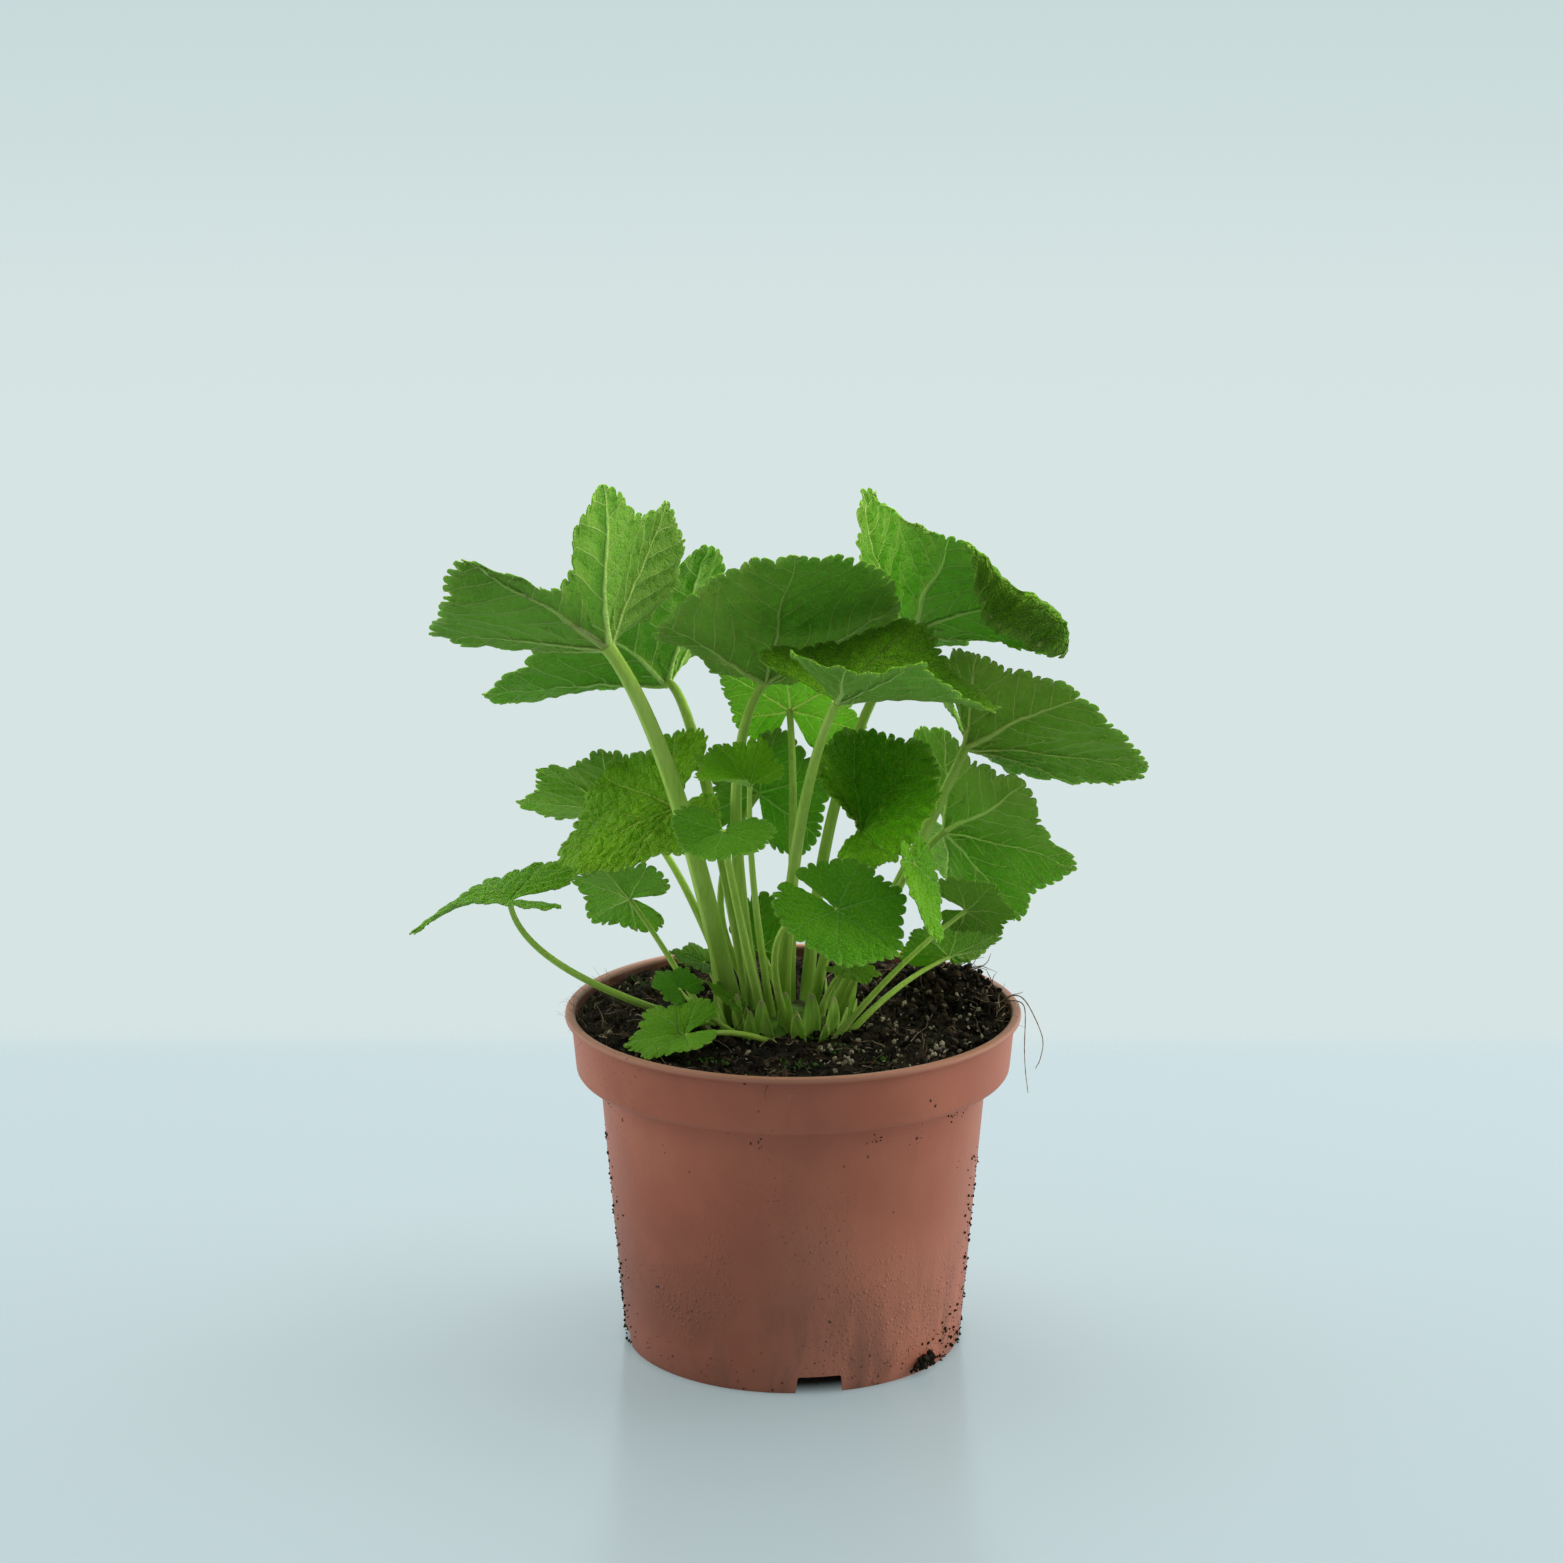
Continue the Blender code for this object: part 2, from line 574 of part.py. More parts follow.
def make_thread(name, points, parts, material):
    curve = bpy.data.curves.new(name, "CURVE")
    curve.dimensions = "3D"
    curve.bevel_depth = THREAD_RADIUS * MM
    curve.bevel_resolution = THREAD_BEVEL
    curve.use_fill_caps = True
    spline = curve.splines.new("POLY")
    spline.points.add(len(points) - 1)
    for point, place in zip(spline.points, points):
        point.co = (place[0] * MM, place[1] * MM, place[2] * MM, 1)
    new_object(name, curve, parts, material)


def main():
    clear_scene()
    parts = new_collection("potted_hollyhock")
    cutters = new_collection("cutters")
    make_pot(parts, cutters)
    make_soil_and_crown(parts, cutters)
    for name, leaf in LEAVES.items():
        green = LEAF_GREEN if leaf.size >= BIG_BLADE else YOUNG_GREEN
        make_blade(name, leaf, parts, new_material("blade_" + name, green))
        make_stalk(name, leaf, parts, new_material("stalk_" + name, STALK_GREEN))
    for name, spec in BUD_SCALES.items():
        make_bud_scale(name, spec, parts, new_material(name, SCALE_GREEN))
    for name, points in ROOT_THREADS.items():
        make_thread(name, points, parts, new_material(name, ROOT_BROWN))


main()
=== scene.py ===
"""A young hollyhock in a plastic nursery pot: its looks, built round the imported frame.

Lengths in the tables are millimetres, and meshes are metres. +Z is up and the plant faces -Y.
"""

from collections import namedtuple
from math import ceil, cos, hypot, pi, radians, sin, sqrt

import bpy
import numpy as np
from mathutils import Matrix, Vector, noise


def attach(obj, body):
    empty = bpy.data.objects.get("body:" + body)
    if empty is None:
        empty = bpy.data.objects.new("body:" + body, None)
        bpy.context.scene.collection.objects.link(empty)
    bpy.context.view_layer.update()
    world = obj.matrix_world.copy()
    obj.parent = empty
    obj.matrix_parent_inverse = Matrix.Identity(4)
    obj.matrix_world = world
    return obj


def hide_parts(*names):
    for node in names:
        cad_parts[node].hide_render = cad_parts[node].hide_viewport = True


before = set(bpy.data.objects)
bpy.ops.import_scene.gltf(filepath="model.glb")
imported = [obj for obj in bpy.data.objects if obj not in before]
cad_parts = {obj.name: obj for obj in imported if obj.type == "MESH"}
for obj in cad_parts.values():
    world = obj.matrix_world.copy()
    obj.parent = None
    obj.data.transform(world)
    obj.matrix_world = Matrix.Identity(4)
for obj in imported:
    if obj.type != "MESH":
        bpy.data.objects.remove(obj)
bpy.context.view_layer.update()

MM = 0.001

# Pot
POT_HEIGHT = 98.0
LIP_RADIUS = 65.0
COLLAR_TOP_RADIUS = 63.2
COLLAR_FOOT_RADIUS = 61.9
COLLAR_HEAD = 96.0
COLLAR_BEND = 82.3
COLLAR_FOOT = 80.5
BODY_TOP_RADIUS = 55.2
BODY_MIDDLE_RADIUS = 52.2
BODY_TOP = 79.4
UNDER_COLLAR = 80.0
BODY_MIDDLE = 44.0
FOOT_RADIUS = 48.5
WALL = 1.1
FLOOR_TOP = 7.0
FLOOR_THICKNESS = 1.4
CENTRE_FOOT_RADIUS = 12.0
NOTCH_COUNT = 4
NOTCH_TURN = -81.1
NOTCH_WIDTH = 14.4
NOTCH_HEIGHT = 5.0
NOTCH_TAPER = 0.86
DRAIN_COUNT = 8
DRAIN_RADIUS = 4.0
DRAIN_CIRCLE = 31.0
POT_STEPS = 144

# Soil and crown
SOIL_LEVEL = 94.0
MOUND_AT = (43.0, 20.0)
MOUND_HEIGHT = 7.0
MOUND_SPREAD = 15.0
DISH_DEPTH = 1.5
WALL_BANK = 3.2
CROWN_AT = (-4.0, -1.0)
CROWN_RADIUS = 17.0
CROWN_RISE = 4.0
# The plug of compost, as (radius, height) down the inside of the pot
PLUG = ((61.0, 82.2), (53.8, 82.2), (50.9, 44.0), (47.6, 7.4))

# Scales round the crown, as (x, y, heading, lean, length)
BUD_SCALES = {
    "bud_scale_front": (
        (2, -19, -100, 60, 12), (-6, -17, -120, 66, 9), (8, -17, -70, 55, 8),
        (-2, -13, -95, 75, 13), (-8, -17, -110, 74, 14), (5, -15, -80, 78, 15),
        (1, -16, -92, 70, 10),
    ),
    "bud_scale_right": (
        (14, 1, 10, 65, 14), (12, -9, -30, 60, 10), (10, 8, 40, 70, 9), (8, -4, -10, 78, 14),
        (10, -13, -55, 72, 14), (15, -6, -20, 66, 11),
    ),
    "bud_scale_left": (
        (-11, -13, 235, 60, 10), (-18, -6, 200, 62, 9), (-17, 4, 170, 66, 12),
        (-9, -6, 220, 76, 14), (-14, -13, 228, 72, 14), (-19, -10, 210, 66, 11),
        (-11, -17, 245, 70, 11),
    ),
}

# Root hairs that hang over the rim
ROOT_THREADS = {
    "root_thread_long": (
        (60.3, 4, 97.6), (62.6, 3, 99.2), (65.4, 1, 99.0), (66.3, 0, 96.0), (66.2, 0, 86.0),
        (66.6, 0, 79.0), (67.4, 0, 72.5),
    ),
    "root_thread_short": (
        (60.1, 7, 97.8), (62.4, 7, 99.4), (65.6, 6, 99.2), (68.6, 5, 95.0), (71.6, 4, 87.5),
        (71.0, 3, 82.0), (69.6, 3, 78.8),
    ),
}

# Fringes of fibre by the wall: an arc in degrees, the circle's radius, the height above the soil or
# none for the lip's height, and the spread, climb, length, curl, thickness and tone of the fibres
Fringe = namedtuple("Fringe", "count arc reach lift spread climb length curl radius tone")
FRINGE_HEIGHT = 96.5
FRINGES = (
    Fringe(26, (150, 240), 59.5, 1.0, 0.8, (0.3, 1.1), (4, 10), 0.35, 0.09, (0.3, 1)),
    Fringe(30, (-15, 45), 58.0, 2.5, 0.9, (0.2, 1.0), (4, 11), 0.4, (0.09, 0.3), (0.1, 0.9)),
    Fringe(22, (168, 205), 62.2, None, 0.9, (0.1, 1.2), (3.5, 8), 0.5, 0.06, (0, 0.5)),
)

# Leaves, with angles in degrees
VEIN_STEP = 52.0
VEIN_ANGLES = (-104.0, -52.0, 0.0, 52.0, 104.0)
BASE_ANGLE = 158.0
KNOTS = np.array((-BASE_ANGLE, *VEIN_ANGLES, BASE_ANGLE))
BASE_ROUND_FROM = 120.0
BASE_ROUND_TO = 162.0
BASE_REACH = 0.25
SOFT_CURL = (-10, -15, -20, -15, -10)
EVEN_SINUS = (0.16, 0.16, 0.16, 0.16)
TIP_SHARE = 0.62
LARGE_LEAF = 24
# Side veins, in shares of the leaf's size
SIDE_VEIN_GAP = 0.165
SIDE_VEIN_SLOPE = 0.78
SIDE_VEIN_BEND = 0.55
FOLD_RADIUS = 1.3
FOLD_TURN = 2.75  # radians
TOOTH_PITCH = (2.9, 0.013)  # mm, and mm more for each mm of leaf size
TOOTH_DEPTH = 0.7  # of the pitch
TOOTH_BAND = 0.16  # the outer share of the blade that the teeth bend
TOOTH_PHASES = np.array((0.0, 0.08, 0.26, 0.5, 0.74, 0.92))
TOOTH_HEIGHTS = np.array((0.0, 0.62, 0.93, 1.0, 0.93, 0.62))
LOBULE_HEIGHT = 0.22  # of the pitch
LEAST_TEETH = 15
BLADE_THICKNESS = 0.95  # mm on the veins of a leaf of 50 mm
BETWEEN_VEINS = 0.36  # of that thickness, on a leaf of 50 mm
RIDGE_LEVELS = 20
STALK_STEPS = 26

# Each leaf has the place of its stalk's tip, the midrib's heading and pitch, the blade's roll and
# size, how far each main vein lifts and reaches, the stalk's foot, middle and radius, the depth of
# the four bays, how each vein curls, how far the third bay leans, the reach beside the stalk, the
# folded margins as (from, to, width), and how far the base closes. What is given for each vein or
# bay runs from the right margin to the left.
Leaf = namedtuple(
    "Leaf",
    "at heading pitch roll size lift reach root elbow thick sinus curl lean base folds shut",
    defaults=(EVEN_SINUS, SOFT_CURL, 1.0, BASE_REACH, (), 1.0),
)
LEAVES = {
    "tall_left": Leaf(
        (-51, -24, 209), 224, 30, 64, 55, (55, 45, 25, 20, 40), (0.60, 0.90, 1.05, 0.85, 0.85),
        (-17, -2), (-33, -20, 168), 2.9, (0.20, 0.15, 0.52, 0.20), (0, -10, -40, -15, -10), 0.6,
    ),
    "tall_left_rear": Leaf(
        (-37, 39, 184), 239, 29, 42, 53, (40, 20, 20, 20, 40), (0.80, 1.00, 1.05, 0.95, 0.65),
        (-12, 11), (-27, 27, 165), 1.9,
    ),
    "tall_centre": Leaf(
        (-8, 2, 193), -74, 46, -8, 46, (40, 5, 20, 20, 35), (0.60, 0.95, 1.05, 0.95, 0.65),
        (-10, -3), (-16, -2, 160), 1.9, (0.10, -0.12, -0.10, 0.10),
    ),
    "tall_right": Leaf(
        (33, 7, 206), -75, 35, -18, 45, (30, 30, 20, 35, 15), (0.60, 0.95, 0.95, 1.10, 0.55),
        (4, 8), (13, 18, 157), 1.9, (0.10, 0.14, 0.10, 0.20), (40, 35, -10, -90, 0), 1.0,
        BASE_REACH, ((-44, -4, 0.08), (2, 54, 0.26)),
    ),
    "front_fold": Leaf(
        (12, -34, 196), 10, -14, 11, 43, (35, 45, 20, 35, 15), (0.80, 0.75, 1.05, 0.95, 0.70),
        (-3, -3), (2, -17, 156), 2.0, EVEN_SINUS, (0, 0, -20, -20, -20),
    ),
    "right_upper": Leaf(
        (49, 8, 173), -41, -28, -56, 49, (30, 30, 45, 45, 30), (0.60, 1.00, 1.05, 0.80, 0.85),
        (11, 4), (39, 5, 152), 1.9, (0.10, 0.00, 0.10, 0.20),
    ),
    "right_lower": Leaf(
        (44, 24, 144), -48, -23, -71, 42, (15, 20, 40, 25, 20), (0.75, 0.95, 0.95, 0.85, 0.90),
        (10, 12), (28, 18, 126), 1.6,
    ),
    "centre_cup": Leaf(
        (19, -10, 153), 35, 22, 21, 32, (25, 40, 40, 35, 70), (0.75, 0.85, 0.95, 0.95, 0.85),
        (5, -1), (13, -5, 130), 1.7, (0.10, 0.05, 0.05, 0.10),
    ),
    "rear_high": Leaf(
        (-1, 35, 177), -92, 59, -3, 26, (0, 5, 10, 5, 0), (0.65, 0.95, 0.70, 0.75, 0.90),
        (-1, 9), (0, 17, 147), 1.5,
    ),
    "rear_low": Leaf(
        (-10, 40, 151), -58, 61, -24, 26, (-20, -10, 15, -5, -25), (0.60, 0.90, 0.90, 0.95, 0.85),
        (-9, 16), (-21, 27, 122), 1.2,
    ),
    "left_front": Leaf(
        (-34, 12, 154), 157, -42, -42, 39, (10, 15, 25, 25, 5), (0.65, 0.95, 1.05, 0.60, 0.62),
        (-21, 8), (-26, 12, 131), 1.3, (0.12, 0.12, 0.12, 0.20),
    ),
    "left_rear": Leaf(
        (-51, 56, 141), 227, 0, 37, 33, (25, 40, 50, 35, 25), (0.95, 0.95, 0.90, 0.90, 0.70),
        (-16, 9), (-35, 36, 130), 1.3,
    ),
    "front_left": Leaf(
        (-19, -52, 164), -98, -7, -1, 17, (15, -5, 5, 5, 5), (0.90, 0.75, 1.00, 0.90, 0.85),
        (-8, -12), (-15, -25, 133), 1.4, (0.08, 0.08, 0.08, 0.08),
    ),
    "front_curl": Leaf(
        (-12, -24, 170), 115, 3, -15, 19, (15, 40, 30, 45, 35), (0.55, 0.80, 1.05, 0.90, 1.00),
        (-6, -7), (-11, -16, 139), 1.1,
    ),
    "far_left": Leaf(
        (-79, -18, 135), 174, 10, 4, 26, (25, 10, -5, 10, 15), (0.90, 0.70, 1.15, 0.75, 0.85),
        (-23, -5), (-64, -14, 114), 1.2, EVEN_SINUS, (-10, -20, -50, -20, -10),
    ),
    "left_heart": Leaf(
        (-47, 19, 125), 172, 13, 59, 19, (10, 5, 15, 0, 10), (0.80, 0.90, 0.95, 0.95, 0.80),
        (-25, 3), (-37, 14, 111), 1.0, (0.20, 0.20, 0.20, 0.20),
    ),
    "soil_left": Leaf(
        (-30, -32, 100), 175, -12, -16, 18, (20, 20, 15, 20, 20), (0.80, 1.00, 0.95, 0.90, 0.85),
        (-6, -20), (-17, -27, 99), 1.0, (0.14, 0.14, 0.14, 0.14), (-20, -30, -30, -20, -10),
    ),
    "front_low": Leaf(
        (12, -48, 141), -32, -17, 25, 21, (15, 5, -5, 10, 15), (0.85, 0.95, 1.00, 0.90, 0.80),
        (-1, -14), (-4, -28, 127), 1.1, (0.08, 0.08, 0.08, 0.08), SOFT_CURL, 1.0, 0.9, (), 1.3,
    ),
    "front_tiny": Leaf(
        (15, -22, 117), -3, -9, 5, 10, (5, 0, 5, 5, 5), (0.80, 0.95, 1.00, 0.90, 0.80),
        (6, -12), (10, -17, 108), 0.9,
    ),
    "bright_hanging": Leaf(
        (33, -40, 152), -22, -70, -2, 23, (10, 15, 10, 5, 15), (0.45, 0.75, 1.00, 0.75, 0.45),
        (12, -5), (24, -17, 127), 1.2, (0.05, 0.05, 0.05, 0.05),
    ),
    "right_young": Leaf(
        (49, 0, 127), -11, -3, -59, 15, (15, 10, 10, 15, 15), (0.80, 0.95, 0.95, 0.95, 0.80),
        (12, -16), (30, -10, 113), 1.0,
    ),
    "right_under": Leaf(
        (45, 18, 108), -69, 52, -9, 18, (20, 15, 15, 10, 25), (0.80, 0.90, 1.00, 0.95, 0.80),
        (16, -11), (30, 0, 104), 1.0,
    ),
    "left_seedling": Leaf(
        (-32, -14, 108), 139, 26, -11, 9, (10, 15, 5, 10, 10), (0.80, 0.95, 1.00, 0.90, 0.80),
        (-12, -18), (-24, -20, 102), 0.8,
    ),
    "left_bud": Leaf(
        (-26, 22, 105), 169, 16, -5, 10, (10, 15, 10, 10, 10), (0.80, 0.95, 1.00, 0.90, 0.80),
        (-20, 15), (-23, 19, 101), 0.8,
    ),
    "crown_upright": Leaf(
        (-10, 25, 108), -85, 78, 0, 21, (10, 10, 0, 10, 10), (0.30, 0.50, 1.00, 0.50, 0.30),
        (-3, 16), (-7, 20, 104), 1.0, (0.10, 0.10, 0.10, 0.10),
    ),
    "crown_feather": Leaf(
        (-18, -15, 105), 169, 37, 6, 9, (10, 10, 10, 10, 10), (0.80, 0.95, 1.00, 0.90, 0.80),
        (-14, -13), (-16, -15, 101), 0.8, (0.30, 0.30, 0.30, 0.30),
    ),
}

# How far each leaf leans from the usual green: lightness, in one value or one for each main vein,
# which is painted light (the light through each leaf and the shade on it), and yellow (+) or blue
# (-)
PAINTED_LIGHT_AND_HUES = {
    "tall_left": ((0.85, 0.85, 0.78, 1.15, 0.9), 0.05),
    "tall_left_rear": (1.0, 0.0),
    "tall_centre": (0.8, 0.15),
    "tall_right": ((1.5, 1.5, 0.95, 0.85, 0.85), 0.1),
    "front_fold": (0.85, 0.0),
    "right_upper": (0.82, 0.3),
    "right_lower": (1.35, 0.1),
    "centre_cup": ((2.2, 2.2, 1.5, 1.4, 1.5), 0.0),
    "rear_high": (1.8, 0.1),
    "left_front": (1.25, 0.35),
    "left_rear": (1.15, 0.2),
    "front_left": (0.95, -0.5),
    "front_curl": (1.9, -0.1),
    "far_left": (1.0, -0.2),
    "left_heart": (1.45, -0.1),
    "soil_left": (1.45, -0.25),
    "front_low": (1.25, -0.55),
    "bright_hanging": (1.5, -0.3),
    "right_young": (0.95, 0.1),
    "right_under": (1.5, -0.1),
    "left_seedling": (1.1, -0.8),
}

# How strongly a leaf is puckered, in mm on a leaf of 50 mm, where it differs from the rest
EVEN_PUCKER = 0.7
PUCKERS = {
    "tall_left": 0.35, "centre_cup": 2.6, "left_front": 1.2, "bright_hanging": 1.2,
    "front_low": 1.2,
}

# The table's reach, its far end and where it starts to fade there, in metres
TABLE_REACH = 8.0
TABLE_END = 0.292
TABLE_FADE = 0.255
BACKDROP = (0.680, 0.776, 0.776), (0.571, 0.694, 0.694)


# ---------------------------------------------------------------- helpers


def pick(*objects):
    bpy.ops.object.select_all(action="DESELECT")
    for piece in objects:
        piece.select_set(True)
    bpy.context.view_layer.objects.active = objects[-1]


def made(name):
    """The object that an operator has just added, named."""
    piece = bpy.context.object
    piece.name = name
    piece.data.name = name
    return piece


def edit(piece, select=True):
    pick(piece)
    bpy.ops.object.mode_set(mode="EDIT")
    bpy.ops.mesh.select_all(action="SELECT" if select else "DESELECT")


def end_edit():
    bpy.ops.object.mode_set(mode="OBJECT")


def settle(piece):
    """Puts the piece's place into its mesh."""
    pick(piece)
    bpy.ops.object.transform_apply(location=True, rotation=True, scale=True)


def apply_modifier(piece, kind, **settings):
    pick(piece)
    modifier = piece.modifiers.new(kind.title(), kind)
    for key, value in settings.items():
        setattr(modifier, key, value)
    bpy.ops.object.modifier_apply(modifier=modifier.name)


def smooth(piece, angle=40):
    pick(piece)
    bpy.ops.object.shade_smooth_by_angle(angle=radians(angle))


def vertices_of(piece):
    places = np.empty(len(piece.data.vertices) * 3)
    piece.data.vertices.foreach_get("co", places)
    return places.reshape(-1, 3)


def set_vertices(piece, places):
    piece.data.vertices.foreach_set("co", np.ascontiguousarray(places, float).ravel())
    piece.data.update()


def set_number(piece, name, values):
    """A number of its own for each vertex, for the materials to read."""
    attribute = piece.data.attributes.new(name, "FLOAT", "POINT")
    attribute.data.foreach_set("value", np.ascontiguousarray(values, np.float32))


def lumps(places, scale, octaves=3, seed=0.0):
    """Fractal noise at each place."""
    shift = Vector((seed * 7.3, seed * 3.1, seed * 5.7))
    return np.array([
        noise.fractal(Vector(p) * scale + shift, 1.0, 2.0, octaves) for p in places.tolist()
    ])


def finish_piece(piece, slot_name, *nodes, materials=()):
    """Gives the piece its materials and its place in the frame."""
    for material in materials:
        piece.data.materials.append(material)
    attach(piece, "root")
    if nodes:
        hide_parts(*nodes)
    return piece


# ---------------------------------------------------------------- materials


# Colours are linear red, green and blue. A pair is the darker and the lighter of one stuff.
YELLOWER = (1.9, 1.25, 0.35)
BLUER = (0.6, 0.98, 1.9)
TERRACOTTA = (0.39, 0.106, 0.055), (0.47, 0.140, 0.077)
POT_DUST = (0.52, 0.225, 0.145)
POT_DAMP = (0.21, 0.057, 0.026)
POT_STAIN = (0.17, 0.07, 0.04)
POT_SPECK = (0.035, 0.018, 0.01)
POT_INNER_WALL = (0.085, 0.036, 0.02)
POT_LIP = (0.40, 0.21, 0.13)
PEAT = (0.006, 0.0055, 0.0035), (0.034, 0.024, 0.013)
PEAT_GRAIN = (0.10, 0.064, 0.036)
PEAT_FLECK = (0.30, 0.22, 0.13)
PEAT_CRUMB = (0.085, 0.055, 0.034)
PALE_GRAIN = (0.46, 0.40, 0.26)
MOSS = (0.035, 0.075, 0.012)
MOSS_CRUMB = (0.06, 0.13, 0.02)


class Nodes:
    """A node tree and short ways to add to it."""

    def __init__(self, tree):
        self.tree = tree

    def node(self, kind, inputs=None, **settings):
        added = self.tree.nodes.new("ShaderNode" + kind)
        for key, value in settings.items():
            setattr(added, key, value)
        for key, value in (inputs or {}).items():
            self.plug(added.inputs[key], value)
        return added

    def plug(self, socket, value):
        if isinstance(value, bpy.types.NodeSocket):
            self.tree.links.new(value, socket)
        elif isinstance(value, tuple) and len(value) == 3 and socket.type == "RGBA":
            socket.default_value = (*value, 1.0)
        else:
            socket.default_value = value

    def math(self, operation, *values):
        return self.node("Math", dict(enumerate(values)), operation=operation).outputs[0]

    def times(self, *values):
        return self.math("MULTIPLY", *values)

    def line(self, value, slope, start):
        """The value times the slope, plus the start."""
        return self.math("MULTIPLY_ADD", value, slope, start)

    def most(self, *values):
        return self.math("MAXIMUM", *values)

    def length(self, spot):
        return self.node("VectorMath", {0: spot}, operation="LENGTH").outputs["Value"]

    def mix(self, share, a, b, blend="MIX"):
        return self.node(
            "Mix", {0: share, 6: a, 7: b}, data_type="RGBA", blend_type=blend
        ).outputs[2]

    def tint(self, colour, by):
        return self.mix(1.0, colour, by, "MULTIPLY")

    def step(self, value, low, high, start=0.0, end=1.0):
        """Start below low, end above high, and a smooth step between."""
        return self.node(
            "MapRange",
            {"Value": value, "From Min": low, "From Max": high, "To Min": start, "To Max": end},
            interpolation_type="SMOOTHSTEP",
        ).outputs[0]

    def place(self, stretch=(1, 1, 1)):
        spot = self.node("TexCoord").outputs["Object"]
        if stretch == (1, 1, 1):
            return spot
        return self.node("Mapping", {"Vector": spot, "Scale": stretch}).outputs[0]

    def noise(self, scale, detail=3.0, rough=0.55, at=None):
        return self.node(
            "TexNoise",
            {"Vector": at or self.place(), "Scale": scale, "Detail": detail, "Roughness": rough},
        ).outputs[0]

    def cells(self, scale, at=None, feature="F1", dimensions="3D"):
        return self.node(
            "TexVoronoi", {"Vector": at or self.place(), "Scale": scale},
            feature=feature, voronoi_dimensions=dimensions,
        ).outputs["Distance"]

    def number(self, name):
        return self.node("Attribute", attribute_name=name).outputs["Fac"]

    def bump(self, height, distance, strength):
        return self.node(
            "Bump", {"Height": height, "Distance": distance, "Strength": strength}
        ).outputs[0]


class Finish(Nodes):
    """A material of one principled shader."""

    def __init__(self, name):
        self.material = bpy.data.materials.new(name)
        self.material.use_nodes = True
        super().__init__(self.material.node_tree)
        self.shader = self.tree.nodes["Principled BSDF"]

    def set(self, **sockets):
        named = {socket.name.lower().replace(" ", "_"): socket for socket in self.shader.inputs}
        for name, value in sockets.items():
            self.plug(named[name], value)


def blade_veins(skin, spot):
    """Masks of the thick veins and of the forks between them, by the same rule as vein_map."""
    split = skin.node("SeparateXYZ", {0: spot})
    step = radians(VEIN_STEP)
    turn = skin.math("ARCTAN2", split.outputs[1], split.outputs[0])
    sector = skin.math("ROUND", skin.math("DIVIDE", turn, step))
    sector = skin.most(skin.math("MINIMUM", sector, 2.0), -2.0)
    local = skin.math("SUBTRACT", turn, skin.times(sector, step))
    reach = skin.length(spot)
    along = skin.times(reach, skin.math("COSINE", local))
    across = skin.times(reach, skin.math("SINE", local))
    side = skin.math("ABSOLUTE", across)

    def drawn(distance, width, core, edge):
        """1 in the core of a line, down to 0 at its soft edge."""
        return skin.step(distance, skin.times(width, core), skin.times(width, edge), 1.0, 0.0)

    def from_middle(count):
        return skin.math("ABSOLUTE", skin.math("SUBTRACT", skin.math("FRACT", count), 0.5))

    main = drawn(side, skin.line(along, -0.0075, 0.0105), 0.45, 1.5)
    start = skin.line(side, -SIDE_VEIN_SLOPE, along)
    start = skin.line(skin.times(side, side), -SIDE_VEIN_BEND, start)
    count = skin.math("DIVIDE", start, SIDE_VEIN_GAP)
    count = skin.line(skin.math("GREATER_THAN", across, 0.0), 0.5, count)
    thin = skin.line(side, -0.035, 0.030)
    branch = drawn(from_middle(count), thin, 0.35, 1.6)
    fork = drawn(from_middle(skin.math("ADD", count, 0.5)), thin, 0.2, 1.1)
    fork = skin.times(fork, skin.step(side, 0.12, 0.2))
    return skin.most(main, skin.times(branch, 0.75)), skin.times(fork, 0.6)


